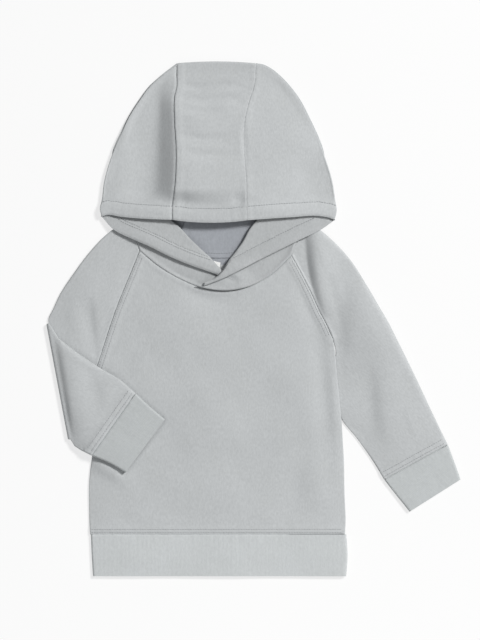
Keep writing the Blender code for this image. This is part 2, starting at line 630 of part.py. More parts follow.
def cloth(name, surfaces, wall, colour, closed=False):
    """An object of cloth from surfaces that share an edge. closed joins the ends of each row."""
    mesh = bmesh.new()
    for surface in surfaces:
        verts = [[mesh.verts.new(point * MM) for point in row] for row in surface]
        columns = len(verts[0]) if closed else len(verts[0]) - 1
        for lower, upper in zip(verts, verts[1:]):
            for i in range(columns):
                j = (i + 1) % len(lower)
                mesh.faces.new((lower[i], lower[j], upper[j], upper[i]))
    bmesh.ops.remove_doubles(mesh, verts=mesh.verts, dist=0.01 * MM)
    bmesh.ops.recalc_face_normals(mesh, faces=mesh.faces)
    data = bpy.data.meshes.new(name)
    mesh.to_mesh(data)
    mesh.free()
    data.shade_smooth()
    data.materials.append(material(name, colour))
    made = bpy.data.objects.new(name, data)
    solidify = made.modifiers.new("wall", "SOLIDIFY")
    solidify.thickness = wall * MM
    solidify.offset = 0
    solidify.use_even_offset = True
    solidify.use_quality_normals = True  # else a sharp corner of the neck seam throws a point below the table
    return made


def neck_label():
    (x0, y0), (x1, y1) = LABEL_AREA
    level = CLOTH + GAP + LABEL / 2
    surface = np.array([raised(straight((x0, y), (x1, y), 3), level) for y in (y0, y1)])
    return cloth("neck_label", [surface], LABEL, LABEL_WHITE)


def box_of(objects):
    """The lowest and highest corners of the finished objects."""
    bpy.context.view_layer.update()
    graph = bpy.context.evaluated_depsgraph_get()
    corners = []
    for made in objects:
        evaluated = made.evaluated_get(graph)
        mesh = evaluated.to_mesh()
        points = np.empty(len(mesh.vertices) * 3, np.float32)
        mesh.vertices.foreach_get("co", points)
        evaluated.to_mesh_clear()
        corners.append(points.reshape(-1, 3))
    points = np.vstack(corners)
    return points.min(axis=0), points.max(axis=0)


def main():
    for old in list(bpy.data.objects):
        bpy.data.objects.remove(old)
    left_main, left_lapel = hood_side(LEFT_HOOD, LEFT_TIP)
    right_main, right_lapel = hood_side(RIGHT_HOOD, RIGHT_TIP)
    objects = [
        cloth("body_front", [front()], CLOTH, CLOTH_GREY),
        cloth("body_back", [back()], CLOTH, CLOTH_GREY),
        cloth("sleeve_left", [left_sleeve()], CLOTH, CLOTH_GREY),
        cloth("sleeve_right", [right_sleeve()], CLOTH, CLOTH_GREY),
        cloth("cuff_left", [band(LEFT_CUFF, BAND)], BAND, BAND_GREY, closed=True),
        cloth("cuff_right", [band(RIGHT_CUFF, BAND)], BAND, BAND_GREY, closed=True),
        cloth("waistband", [band(WAISTBAND, BAND)], BAND, BAND_GREY, closed=True),
        cloth("hood_side_left", [left_main, left_lapel], CLOTH, CLOTH_GREY),
        cloth("hood_side_right", [right_main, right_lapel], CLOTH, CLOTH_GREY),
        cloth("hood_centre", [hood_centre(left_main, right_main)], CLOTH, CLOTH_GREY),
        neck_label(),
    ]
    collection = bpy.data.collections.new("hoodie")
    bpy.context.scene.collection.children.link(collection)
    origin = bpy.data.objects.new("hoodie_origin", None)
    collection.objects.link(origin)
    for made in objects:
        collection.objects.link(made)
        made.parent = origin
    low, high = box_of(objects)
    origin.location = (-(low[0] + high[0]) / 2, -(low[1] + high[1]) / 2, -low[2])


main()
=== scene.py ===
"""The looks of a toddler's hoodie laid flat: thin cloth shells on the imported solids, with their creases,
seams, stitches and finish, and the studio around them.

Lengths are in millimetres until a mesh is made. x = 0 is the garment's centre line, y = 0 is the lower edge
of the waistband, y grows towards the hood and z = 0 is the table. The neck label's box in the frame gives the
shift from there to the frame's own origin. Left and right are the wearer's, so the left side is at +x.
"""

import math
from collections import namedtuple

import bmesh
import bpy
import numpy as np
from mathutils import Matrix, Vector
from mathutils.bvhtree import BVHTree


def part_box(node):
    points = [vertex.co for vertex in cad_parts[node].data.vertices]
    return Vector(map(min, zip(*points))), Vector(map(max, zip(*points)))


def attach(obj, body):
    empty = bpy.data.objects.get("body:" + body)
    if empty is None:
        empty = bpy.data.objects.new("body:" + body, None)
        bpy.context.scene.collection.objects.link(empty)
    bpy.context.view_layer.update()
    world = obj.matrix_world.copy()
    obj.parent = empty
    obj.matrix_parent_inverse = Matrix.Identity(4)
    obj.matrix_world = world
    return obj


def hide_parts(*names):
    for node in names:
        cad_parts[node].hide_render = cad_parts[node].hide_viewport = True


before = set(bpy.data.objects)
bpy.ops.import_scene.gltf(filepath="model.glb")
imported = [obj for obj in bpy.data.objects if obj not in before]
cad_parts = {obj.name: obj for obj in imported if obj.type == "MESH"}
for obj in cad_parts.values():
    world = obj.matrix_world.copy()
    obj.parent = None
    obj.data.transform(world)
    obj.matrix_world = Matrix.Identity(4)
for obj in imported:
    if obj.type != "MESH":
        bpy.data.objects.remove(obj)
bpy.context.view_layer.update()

MM = 0.001
CLOTH = 1.0  # wall of the sweatshirt cloth
HEM = 1.9  # wall of the hood's hem, which is turned in
BAND = 2.3  # wall of the cuffs and the waistband, which are doubled cloth
GAP = 0.3  # between layers that lie on each other
SEAM_GAP = 0.3  # between the shells at a seam

LABEL_CORNER = (-24, 352.5)
label_low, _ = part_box("neck_label")
SHIFT = np.array([label_low.x / MM - LABEL_CORNER[0], label_low.y / MM - LABEL_CORNER[1], 0])

# ---- the garment's sizes, as its solids have them ----

# Heights of the middle of a layer of cloth above the table.
TABLE_LEVEL = CLOTH / 2  # the lowest layer, which lies on the table
EDGE_LEVEL = TABLE_LEVEL + CLOTH + GAP  # a layer that lies right on the lowest one
UNDERARM_LEVEL = 2.4  # the upper layer where it turns down to the underarm seam
SEAM_LEVEL = 3.4  # the upper layer along the neck and raglan seams
FOLD_LEVEL = 3.6  # the upper layer where it turns over at a soft fold
WAIST_EDGE_LEVEL = 2.6  # the front's side edges at the waistband
SOLID_BAND = 2.4  # wall of the bands in the solids

# A cross section of a sleeve, cuff or band, which is a flattened tube: where its front layer starts, where
# its back layer ends and where the outside of it folds over, as (x, y). Then the height of the front layer
# at its start and at the fold, the height of the back layer, and how much the layer on top swells between.
Section = namedtuple(
    "Section",
    "front back fold start_level fold_level back_level puff",
    defaults=(SEAM_LEVEL, FOLD_LEVEL, TABLE_LEVEL, 0.0),
)


def tube(seam, fold, start_level, fold_level=FOLD_LEVEL, back_level=TABLE_LEVEL, puff=0.0):
    """A section whose two layers meet at the underarm seam."""
    return Section(seam, seam, fold, start_level, fold_level, back_level, puff)


def doubled(start, fold, floor, puff):
    """A section of a cuff or the waistband, whose lower face is at the height floor."""
    low = floor + SOLID_BAND / 2
    high = low + SOLID_BAND + GAP
    return Section(start, start, fold, high, high, low, puff)


UNDERARM = 5  # up to this section the two ends lie on the raglan seams, and from the next one they meet
UNDERARM_POINTS = ((130, 273), (-142, 234))  # where it is at the left sleeve and at the right one
LEFT_SLEEVE = [
    Section((83, 367.5), (86, 391), (98, 410.5)),
    Section((93.5, 348.5), (96, 366), (126, 389), puff=0.8),
    Section((105, 326), (107, 338), (150.5, 363), puff=1.4),
    Section((114.5, 305), (116, 311), (170.5, 332), puff=2.0),
    Section((123, 289), (124, 291), (184.5, 308), puff=2.2),
    Section((130, 273), (130, 273), (195.5, 289), puff=2.2),
    tube((134, 256), (204, 272), UNDERARM_LEVEL, puff=2.2),
    tube((129.5, 236), (212, 256), UNDERARM_LEVEL, puff=2.2),
    tube((131, 208), (222, 235.5), UNDERARM_LEVEL, puff=2.2),
    tube((140, 181), (233, 212.5), UNDERARM_LEVEL, puff=2.0),
    tube((159, 157), (243.5, 190), 2.6, puff=1.8),
    tube((176.5, 132), (254.5, 167), 3.0, puff=1.2),
    tube((189.5, 110.5), (262.5, 151), FOLD_LEVEL, puff=0.4),
]
RIGHT_UPPER_ARM = [
    Section((-91, 373), (-90, 393), (-103, 410.5)),
    Section((-99.5, 352), (-100, 368), (-129, 392), puff=0.8),
    Section((-109.5, 328), (-110, 340), (-149, 371), puff=1.2),
    Section((-120, 301), (-121.5, 307), (-167, 347), fold_level=3.4, puff=1.0),
    Section((-131, 268), (-132, 271), (-181.5, 325), 3.0, 3.0, puff=0.6),
    Section((-142, 234), (-142, 234), (-190.5, 306), 2.4, 2.6, puff=0.3),
    tube((-157, 196), (-195, 297), 2.4, 2.4),
    tube((-170, 157), (-195, 290), 2.4, 2.4),
]
# The elbow: the last section turns over about a level line at this height, in these steps. The forearm's
# front layer is then its lower one.
CREASE_LEVEL = 3.2
CREASE_DEGREES = np.linspace(15, 180, 12)
RIGHT_FOREARM = [
    tube((-165, 149), (-184, 273), 4.2, 4.2, 6.4, puff=0.6),
    tube((-158, 144.5), (-162, 256), 5.0, 5.0, 7.6, puff=1.2),
    tube((-152, 141.5), (-134, 237.5), 5.8, 5.8, 8.6, puff=1.2),
    tube((-148, 139.5), (-113.5, 225.5), 6.3, 6.3, 9.2, puff=0.8),
    tube((-146, 138.5), (-95.5, 210), 6.5, 6.5, 9.6, puff=0.2),
]
LEFT_CUFF = [
    doubled((189.5, 110.5), (262.5, 151), 0, puff=0.2),
    doubled((204, 92), (270, 131), 0, puff=0.6),
    doubled((218.5, 74), (277, 111), 0, puff=0.3),
]
RIGHT_CUFF_FLOOR = 5.5  # over the front
RIGHT_CUFF = [
    doubled((-146, 138.5), (-95.5, 210), RIGHT_CUFF_FLOOR, puff=0.2),
    doubled((-126, 130), (-79, 194.5), RIGHT_CUFF_FLOOR, puff=0.6),
    doubled((-107, 119), (-62, 180), RIGHT_CUFF_FLOOR, puff=0.3),
]
WAIST_Y = 48
WAISTBAND = [
    doubled((-147, WAIST_Y), (146, WAIST_Y), 0, puff=0.3),
    doubled((-146, WAIST_Y / 2), (147.5, WAIST_Y / 2), 0, puff=0.5),
    doubled((-144.5, 0), (146, 0), 0, puff=0.3),
]

# The neck seam, as (x, y), and the shares of the front's part, from the wearer's right, at which the two
# sides of the hood end.
FRONT_NECK = [
    (-91, 373), (-68, 354.5), (-45, 341), (-22, 331.5), (6, 327.5), (36, 333), (59, 345.5), (83, 367.5),
]
BACK_NECK = [(-90, 393), (-62, 376), (-36, 369), (0, 366), (36, 369), (62, 377), (86, 391)]
LEFT_TIP = 0.385
RIGHT_TIP = 0.61

# Side edges of the front as (x, y, level), and of the back as (x, y), from the waist up to the underarm. The
# front's left edge lies over the sleeve's tucked-in underarm.
FRONT_LEFT_SIDE = [
    (144, WAIST_Y, WAIST_EDGE_LEVEL), (145, 64, EDGE_LEVEL), (144, 88, EDGE_LEVEL), (141.5, 156, 2.7),
    (140, 180, 4.4), (138, 202, 4.7), (134.5, 236, 4.7), (132.8, 256, 4.5), (130, 273, SEAM_LEVEL),
]
FRONT_RIGHT_SIDE = [
    (-147.5, WAIST_Y, WAIST_EDGE_LEVEL), (-148.5, 70, EDGE_LEVEL), (-148.5, 110, EDGE_LEVEL),
    (-145, 140, EDGE_LEVEL), (-142.5, 185, EDGE_LEVEL), (-142, 234, 2.4),
]
BACK_LEFT_SIDE = [
    (144, WAIST_Y), (145, 64), (144, 88), (141.5, 156), (138, 181), (129, 208), (127.5, 236), (131.5, 256),
    (130, 273),
]
BACK_RIGHT_SIDE = [(-147.5, WAIST_Y), (-148.5, 70), (-148.5, 110), (-145, 140), (-142.5, 185), (-142, 234)]
SIDE_PART = 8 / 13  # share of a body panel's side edge that is below the underarm
BODY_CROWN = 1.0  # how far the front rises in the middle, over what its edges give
CROWN_POWER = 3  # how evenly that rise is spread over the width
WAIST_POWER = 8  # how close to the sides the waist seam comes down to its ends' height

# A side of the hood: +1 for the left one and -1 for the right; its outline from the corner of the opening to
# the centre strip; the strip's seam on the lower and on the upper layer, both ending at the crown; the hem,
# from the corner to the strip; the lapel's roll and its free edge, from the corner to the centre front; and
# the share of the front neck at which it ends.
HoodSide = namedtuple(
    "HoodSide", "sign outline low_seam top_seam hem roll free_edge roll_radius lift sleeve tip"
)
LEFT_HOOD = HoodSide(
    sign=1,
    outline=[
        (132.5, 408.5), (135, 418), (133.5, 432), (131, 452.5), (122, 483.5), (116, 500), (105, 524),
        (93, 547), (82, 562), (70, 574.5), (60, 582.5), (51, 587), (42, 588.5),
    ],
    low_seam=[(36, 369), (40, 400), (42, 450), (42, 520), (42, 570)],
    top_seam=[(32, 408), (32, 430), (31.5, 456), (30, 473), (30, 523), (34.5, 543), (40, 560), (42, 570)],
    hem=[(132.5, 408.5), (127, 411), (116, 413), (81.5, 411.5), (32, 408)],
    roll=[(48, 417), (42.5, 407.5), (35, 398), (28, 385), (13, 364), (4, 350), (-4, 342), (-15, 337)],
    free_edge=[
        (132.5, 408.5), (117, 397.5), (93, 386), (70, 374.5), (47, 363), (24, 351), (1, 340), (-17.5, 333),
    ],
    roll_radius=1.3,
    lift=3.6,
    sleeve=LEFT_SLEEVE[0],
    tip=LEFT_TIP,
)
RIGHT_HOOD = HoodSide(
    sign=-1,
    outline=[
        (-134.5, 412.5), (-136.5, 420), (-134.5, 432), (-132.5, 452.5), (-122, 489), (-111.5, 512),
        (-106, 524), (-91, 548), (-80.5, 562), (-66.5, 574.5), (-57, 582), (-48, 588.5),
    ],
    low_seam=[(-36, 369), (-43, 392), (-40, 402), (-37, 410), (-37, 440), (-42, 510), (-48, 570)],
    top_seam=[
        (-53, 408.5), (-53, 425), (-50.5, 442), (-48.5, 483), (-50.5, 524), (-50.5, 550), (-48, 562),
        (-48, 570),
    ],
    hem=[(-134.5, 412.5), (-127, 414.5), (-114, 412.5), (-79.5, 409.5), (-53, 408.5)],
    roll=[(-62, 418), (-54, 408), (-45, 400), (-33, 387), (-22, 376.5), (-10, 365), (3, 351), (16, 341)],
    free_edge=[
        (-134.5, 412.5), (-122, 398.5), (-95, 385), (-79, 378), (-56, 366.5), (-33, 357), (-1, 345.5),
        (20, 336),
    ],
    roll_radius=1.0,
    lift=0.0,
    sleeve=RIGHT_UPPER_ARM[0],
    tip=RIGHT_TIP,
)
HEM_MIDDLE = -3.0  # how far the hem's middle dips below its line across the centre strip
CROWN_BULGE = 2.0  # how far the crown's fold runs above its ends, at the centre strip
BULGE_FROM = 580  # that bulge is full from this height of the page up
BULGE_DEPTH = 40  # and it dies out this much lower
HOOD_RISE = 7.0  # how far the upper layer rises in the middle of the hem, over its sides
HOOD_FADE = 170.0  # length over which that rise dies out, from the hem to the crown
HEM_Y = 407.0
DOME_INSET = 3  # the dome starts this far inside the outline
CROWN_FROM, CROWN_TO = 535.0, 569.0  # y over which the centre strip's dome dies out
CORNER_TOP = 5.9  # middle of the upper layer at the corners of the opening
CROWN_TOP = 4.0  # and at the crown
PLEAT_SHARE = 0.43  # share of the outline, from the corner, at which the pleat behind the lapel dies out
GATHERED = (2.0, 2.2, 3.4, 3.4)  # heights there of the under part, the roll's two sides and the lapel's edge
GATHER_INSET = 3  # the rolled edge runs out this far inside the outline
LAPEL_LEVEL = 5.7  # middle of the lapel at its free edge
CORNER_LEVEL = 4.3  # and at the corner of the opening
CORNER_SPREAD = 0.12  # the share of a length over which the shape of the opening's corner fades
ROLL_LEVEL = 4.5  # middle of the hood's under part, where it rolls over into the lapel
TIP_LEVEL = 3.6  # and where the lapel ends
TIP_SPREAD = 0.4  # the share of the lapel, from its middle on, over which its tip's own heights set in
TIP_RADIUS = 0.85  # radius of the lapel's roll at its tip
TIP_FREE_LEVEL = 5.3  # height of the lapel's free edge at its tip
LIFT_FROM, LIFT_TO = 50.0, 24.0  # x over which the left side climbs onto the right one
NECK_SHARE = 0.39  # where the hood's side starts on its half of the back neck line
NECK_PART = 0.75  # the share of the side's low edge that follows that line
LOW_BEND_SPREAD = 0.3  # the share of the outline over which the neck seam's bend fades in the lower layer
OUTLINE_STEP = 0.005  # the share of the outline on each side of a point that gives the direction there
HEM_DEPTH = 15.5  # from the hood's folded edge to its row of stitches
TWIN_GAP = 2.9  # between the two rows on the right lapel

# ---- lines ----


def spline(points, knots, at):
    """Points of a smooth line that passes the given points at the given knots."""
    points = np.asarray(points, float)
    knots = np.asarray(knots, float)
    slopes = np.gradient(points, knots, axis=0)
    at = np.clip(np.atleast_1d(np.asarray(at, float)), knots[0], knots[-1])
    left = np.clip(np.searchsorted(knots, at, side="right") - 1, 0, len(knots) - 2)
    width = (knots[left + 1] - knots[left])[:, None]
    t = (at[:, None] - knots[left][:, None]) / width
    return (
        (2 * t**3 - 3 * t**2 + 1) * points[left]
        + (t**3 - 2 * t**2 + t) * width * slopes[left]
        + (3 * t**2 - 2 * t**3) * points[left + 1]
        + (t**3 - t**2) * width * slopes[left + 1]
    )


def along(points, shares):
    """Points at the given shares of the length of a smooth line through the given points."""
    steps = np.linalg.norm(np.diff(np.asarray(points, float)[:, :2], axis=0), axis=1)
    knots = np.concatenate([[0], np.cumsum(steps)]) / steps.sum()
    return spline(points, knots, shares)


def between(start, end, shares):
    """Points at the given shares of the straight line from start to end."""
    shares = np.asarray(shares)[:, None]
    return np.asarray(start, float) * (1 - shares) + np.asarray(end, float) * shares


def unit(vector):
    return vector / np.linalg.norm(vector)


def fade(value):
    """1 at 0, falling smoothly to 0 at 1."""
    value = np.clip(value, 0, 1)
    return 1 - value * value * (3 - 2 * value)


def hump(value):
    """1 at 0, falling to nothing at about 2 on both sides."""
    return np.exp(-np.square(value))


def raised(points, level):
    """Plan points (x, y) with a height, one for all or one for each."""
    points = np.asarray(points, float)
    return np.column_stack([points[:, :2], np.broadcast_to(level, len(points))])


def sloped(start, end, from_level, to_level, shares):
    """Points on a straight line in plan, whose height goes evenly from one level to another."""
    return raised(between(start, end, shares), from_level + (to_level - from_level) * shares)


def sideways(line, distance):
    """A line moved to its left in plan, looking along it from above."""
    tangent = np.gradient(line[:, :2], axis=0)
    tangent /= np.maximum(np.linalg.norm(tangent, axis=1), 1e-9)[:, None]
    moved = np.array(line, float)
    moved[:, 0] -= tangent[:, 1] * distance
    moved[:, 1] += tangent[:, 0] * distance
    return moved


def turn(centre, outward, from_level, to_level, angles):
    """Points of an arc that bulges outward: -90 degrees is at from_level and 90 degrees is at to_level."""
    angles = np.radians(np.asarray(angles, float))
    radius = (to_level - from_level) / 2
    plan = centre + abs(radius) * np.cos(angles)[:, None] * outward
    return np.column_stack([plan, (from_level + to_level) / 2 + radius * np.sin(angles)])


def graded(length, first, widest, growth=1.25, ends=(True, True)):
    """Shares of a length, spaced closely at the chosen ends, where seams are, and evenly between."""
    run = [0.0]
    step = first
    while step < widest:
        run.append(run[-1] + step)
        step *= growth
    close = np.array(run) / length
    start = close if ends[0] else np.zeros(1)
    end = 1 - close[::-1] if ends[1] else np.ones(1)
    middle = np.linspace(start[-1], end[0], max(2, round((end[0] - start[-1]) * length / widest) + 1))
    return np.concatenate([start[:-1], middle, end[1:]])


def to_line(points, line):
    """For plan points: the distance to a line, how far along the line the nearest place is, and the side."""
    flat = points.reshape(-1, points.shape[-1])[:, :2]
    line = np.asarray(line, float)[:, :2]
    starts, ends = line[:-1], line[1:]
    lengths = np.linalg.norm(ends - starts, axis=1)
    before = np.concatenate([[0], np.cumsum(lengths)[:-1]])
    best = np.full(len(flat), np.inf)
    where = np.zeros(len(flat))
    side = np.zeros(len(flat))
    for start, end, length, run in zip(starts, ends, lengths, before):
        if length < 1e-9:
            continue
        direction = (end - start) / length
        offset = flat - start
        share = np.clip(offset @ direction, 0, length)
        distance = np.linalg.norm(offset - share[:, None] * direction, axis=1)
        nearer = distance < best
        best[nearer] = distance[nearer]
        where[nearer] = run + share[nearer]
        side[nearer] = (direction[0] * offset[:, 1] - direction[1] * offset[:, 0])[nearer]
    shape = points.shape[:-1]
    return best.reshape(shape), where.reshape(shape), np.sign(side).reshape(shape)


def distance_to(points, line):
    """The distance of plan points to a line."""
    return to_line(points, line)[0]


# ---- creases: soft ridges and troughs ----

# A ridge of this height, or a trough if it is negative. left and right are its reach on each side of the
# path, looking along it. The higher its taper, the sooner it fades towards the ends of its path.
Crease = namedtuple("Crease", "path height left right taper", defaults=(1.0,))
CREASE_POINTS = 16  # on the smooth line along a crease


def crease_height(points, creases):
    """How much a list of creases adds to the height of points."""
    height = np.zeros(points.shape[:-1])
    for crease in creases:
        line = np.array(crease.path, float)
        if len(line) > 2:
            line = along(line, np.linspace(0, 1, CREASE_POINTS))
        distance, run, side = to_line(points, line)
        total = np.linalg.norm(np.diff(line[:, :2], axis=0), axis=1).sum()
        reach = np.where(side > 0, crease.left, crease.right)
        ends = np.sin(np.pi * np.clip(run / total, 0.02, 0.98)) ** crease.taper
        height += crease.height * hump(distance / reach) * ends
    return height


# Wide, faint waves that no cloth laid by hand is without: direction in degrees, length, height, start.
Wave = namedtuple("Wave", "degrees length height start")
UNEVEN = [
    Wave(12, 118, 0.6, 0.4), Wave(64, 83, 0.42, 2.1), Wave(101, 61, 0.28, 4.0), Wave(148, 94, 0.42, 1.2),
    Wave(35, 43, 0.12, 5.1), Wave(122, 37, 0.08, 3.3), Wave(80, 24, 0.03, 0.9), Wave(20, 27, 0.035, 2.8),
]


def unevenness(points, share=1.0):
    """A share of all the wide waves together."""
    height = np.zeros(points.shape[:-1])
    for wave in UNEVEN:
        run = points[..., 0] * math.cos(math.radians(wave.degrees))
        run = run + points[..., 1] * math.sin(math.radians(wave.degrees))
        height += wave.height * np.sin(2 * np.pi * run / wave.length + wave.start)
    return share * height


# A seam: dip is how far the cloth sinks into it. allowance is the height of the turned seam allowance under
# the cloth on this side, and width is how deep it is. rows are the distances of its rows of stitches, and
# pucker is the height of the small ripples that the sewing leaves across it.
Seam = namedtuple("Seam", "dip allowance width rows pucker")
STITCHED = Seam(dip=1.1, allowance=0.6, width=7.0, rows=(2.0, 5.6), pucker=0.2)
COVERED = Seam(dip=1.1, allowance=0.0, width=1.0, rows=(), pucker=0.2)
NECK = Seam(dip=1.2, allowance=0.35, width=4.0, rows=(), pucker=0.2)
PLAIN = Seam(dip=0.3, allowance=0.15, width=4.0, rows=(), pucker=0.14)
STEP_DOWN = Seam(dip=0.9, allowance=-0.5, width=1.0, rows=(), pucker=0.2)
STEP_UP = Seam(dip=0.5, allowance=0.5, width=6.0, rows=(), pucker=0.2)
CUFF_SEAM = Seam(dip=1.8, allowance=0.9, width=9.0, rows=(3.4, 8.4), pucker=0.3)
SEAM_REACH = 0.6  # half the width of a seam's groove
ALLOWANCE_EDGE = 2.5  # over which the turned allowance's edge fades
ROW_DIP, ROW_REACH = 0.3, 0.7  # how far a row of stitches pulls the cloth down, and half that groove's width
PUCKER_LENGTHS = (6.3, 9.1, 14.7)
PUCKER_SPREAD = 4  # the ripples fade over the allowance's width and this much more


def puckers(run):
    """Ripples along a seam, from -1 to 1, of several lengths so that they don't repeat."""
    return sum(np.sin(2 * np.pi * run / length + length) for length in PUCKER_LENGTHS) / len(PUCKER_LENGTHS)


def seam_height(points, line, seam):
    """What a seam along the line adds to the height of points on one of its sides."""
    distance, run, _ = to_line(points, line)
    height = -seam.dip * hump(distance / SEAM_REACH)
    height += seam.allowance * fade((distance - seam.width) / ALLOWANCE_EDGE)
    for row in seam.rows:
        height -= ROW_DIP * hump((distance - row) / ROW_REACH)
    return height + seam.pucker * puckers(run) * np.exp(-distance / (PUCKER_SPREAD + seam.width))


# ---- sleeves, cuffs and waistband ----

LAYER = graded(80, 0.3, 2.4, ends=(True, False))
FOLD_TURN = np.linspace(-75, 75, 7)
SEAM_TURN = np.linspace(15, 78, 3)


def section_at(rows, at):
    """The section at a place among the rows, which may lie between two of them."""
    table = np.array([[*row.front, *row.back, *row.fold, *row[3:]] for row in rows])
    row = spline(table, np.arange(len(rows)), [at])[0]
    return Section(tuple(row[0:2]), tuple(row[2:4]), tuple(row[4:6]), *row[6:])


def ring(row, joined):
    """One section of a sleeve, from the front layer's start, over the fold, to the back layer's end."""
    front, back, fold = (np.asarray(point, float) for point in row[:3])
    outward = unit(fold - (front + back) / 2)
    fold_radius = abs(row.fold_level - row.back_level) / 2
    centre = fold - (fold_radius + CLOTH / 2) * outward
    share = LAYER
    bulge = row.puff * np.sin(np.pi * share)
    front_on_top = row.fold_level > row.back_level
    front_levels = row.start_level + (row.fold_level - row.start_level) * share + bulge * front_on_top
    back_levels = row.back_level + bulge * (not front_on_top)
    fold_points = turn(centre, outward, row.back_level, row.fold_level, FOLD_TURN[::-1])
    if not joined:
        lead = np.concatenate([share[:1], share[1] * np.array([0.25, 0.5, 0.75]), share[1:]])
        front_layer = raised(between(front, centre, lead), np.interp(lead, share, front_levels))
        back_layer = raised(between(back, centre, lead), np.interp(lead, share, back_levels))
        return np.vstack([front_layer, fold_points, back_layer[::-1]])
    seam_radius = abs(row.start_level - row.back_level) / 2
    start = front + (seam_radius + CLOTH / 2) * outward
    front_layer = raised(between(start, centre, share), front_levels)
    back_layer = raised(between(start, centre, share), back_levels)[::-1]
    # The seam's slit is left open between the turn's upper and its lower half.
    slit = np.degrees(SEAM_GAP / seam_radius) / 2
    upper = turn(start, -outward, row.back_level, row.start_level, [slit, *SEAM_TURN[:-1]])
    lower = turn(start, -outward, row.back_level, row.start_level, [*-SEAM_TURN[-2::-1], -slit])
    return np.vstack([upper, front_layer, fold_points, back_layer, lower])


def sleeve_rings(rows, places):
    """Rings at the places. From the last raglan section to the first closed one, the form changes over."""
    rings = []
    for at in places:
        row = section_at(rows, at)
        closed = np.clip(at - UNDERARM, 0, 1)
        open_form = ring(row, False) if closed < 1 else 0
        closed_form = ring(row, True) if closed > 0 else 0
        rings.append(open_form * (1 - closed) + closed_form * closed)
    return np.array(rings)


def closed_ring(row, wall, front_share, back_share):
    """One section of a cuff or band: a whole flattened tube."""
    front, _, fold = (np.asarray(point, float) for point in row[:3])
    outward = unit(fold - front)
    radius = abs(row.fold_level - row.back_level) / 2
    start = front + (radius + wall / 2) * outward
    centre = fold - (radius + wall / 2) * outward
    front_levels = row.fold_level + row.puff * np.sin(np.pi * front_share)
    front_layer = raised(between(start, centre, front_share), front_levels)
    back_layer = raised(between(centre, start, back_share), row.back_level)
    fold_points = turn(centre, outward, row.back_level, row.fold_level, FOLD_TURN[::-1])
    start_points = turn(start, -outward, row.back_level, row.fold_level, FOLD_TURN)
    return np.vstack([front_layer, fold_points, back_layer, start_points])


BAND_STEP, BAND_BACK_STEP = 2.2, 5  # between the points of a band's upper layer, and of its lower one
BAND_PUCKER = 0.28  # height of the ripples where the cloth is gathered into a band
BAND_PUCKER_SPREAD = 9
BAND_DIP = 1.5  # how far a band sinks at its seam
BAND_UNEVEN = 0.5
BAND_CREASES = [
    Crease([(-146, 20), (-100, 22), (-60, 19), (-20, 22)], 0.25, 7, 7),
    Crease([(30, 26), (80, 22), (140, 25)], 0.25, 7, 7),
    Crease([(238, 126), (248, 112), (252, 96)], -0.35, 5, 6),
    Crease([(-118, 170), (-104, 160), (-88, 152)], -0.3, 5, 6),
]


def band(rows, depth, width):
    """A cuff or the waistband, with its ripples, its creases and a soft unevenness on the upper layer."""
    places = graded(depth, 0.3, BAND_STEP) * (len(rows) - 1)
    front_share = np.linspace(0, 1, round(width / BAND_STEP))
    back_share = np.linspace(0, 1, round(width / BAND_BACK_STEP))
    surface = np.array([closed_ring(section_at(rows, at), BAND, front_share, back_share) for at in places])
    surface[0] += unit((surface[1] - surface[0]).mean(axis=0)) * SEAM_GAP
    level, floor = rows[0].fold_level, rows[0].back_level
    upper = 1 - fade((surface[..., 2] - floor) / (level - floor))
    distance, run, _ = to_line(surface, surface[0, : surface.shape[1] // 2])
    height = BAND_PUCKER * puckers(run) * np.exp(-distance / BAND_PUCKER_SPREAD)
    height += unevenness(surface, BAND_UNEVEN) - BAND_DIP * hump(distance / SEAM_REACH)
    surface[..., 2] += (height + crease_height(surface, BAND_CREASES)) * upper
    return surface


# ---- front and back ----


def patch(bottom, top, left, right, across, up):
    """The smooth surface between four edges. left and right run upwards, bottom and top run to the right."""
    across = across[None, :, None]
    up = up[:, None, None]
    return (
        (1 - up) * bottom[None]
        + up * top[None]
        + (1 - across) * left[:, None]
        + across * right[:, None]
        - (1 - up) * ((1 - across) * bottom[0] + across * bottom[-1])
        - up * ((1 - across) * top[0] + across * top[-1])
    )


def body_edge(side, raglan, levels, inwards, up):
    """A side edge of the front or back, up to the underarm and on along the raglan seam to the neck."""
    side = np.array([(*point, TABLE_LEVEL)[:3] for point in side], float)
    raglan = raised(np.array(raglan, float)[::-1], levels)
    lower = along(side, np.clip(up / SIDE_PART, 0, 1))
    upper = spline(raglan, np.linspace(SIDE_PART, 1, len(raglan)), np.clip(up, SIDE_PART, 1))
    edge = np.where((up < SIDE_PART)[:, None], lower, upper)
    seam = up >= SIDE_PART
    moved = sideways(edge, inwards)
    edge[seam] = moved[seam]
    return edge


BODY_ACROSS = graded(290, 0.3, 2.5)
BODY_UP = graded(330, 0.3, 2.5)


def body_panel(neck, neck_level, left_edge, right_edge, waist_levels, across, up):
    """The surface between the two side edges, the neck seam and the waist seam."""
    top = sideways(raised(along(neck, across), neck_level), -SEAM_GAP / 2)
    top[0], top[-1] = left_edge[-1], right_edge[-1]
    share = across[:, None]
    bottom = left_edge[0] * (1 - share) + right_edge[0] * share
    bottom[:, 2] = waist_levels
    return patch(bottom, top, left_edge, right_edge, across, up)


def curl(surface, line, radius, direction):
    """Turns a free side edge down (-1) or up (1), so that the two layers close round the side."""
    distance = distance_to(surface, line)
    inside = np.clip(radius - distance, 0, radius)
    surface[..., 2] += direction * (radius - np.sqrt(radius**2 - inside**2))


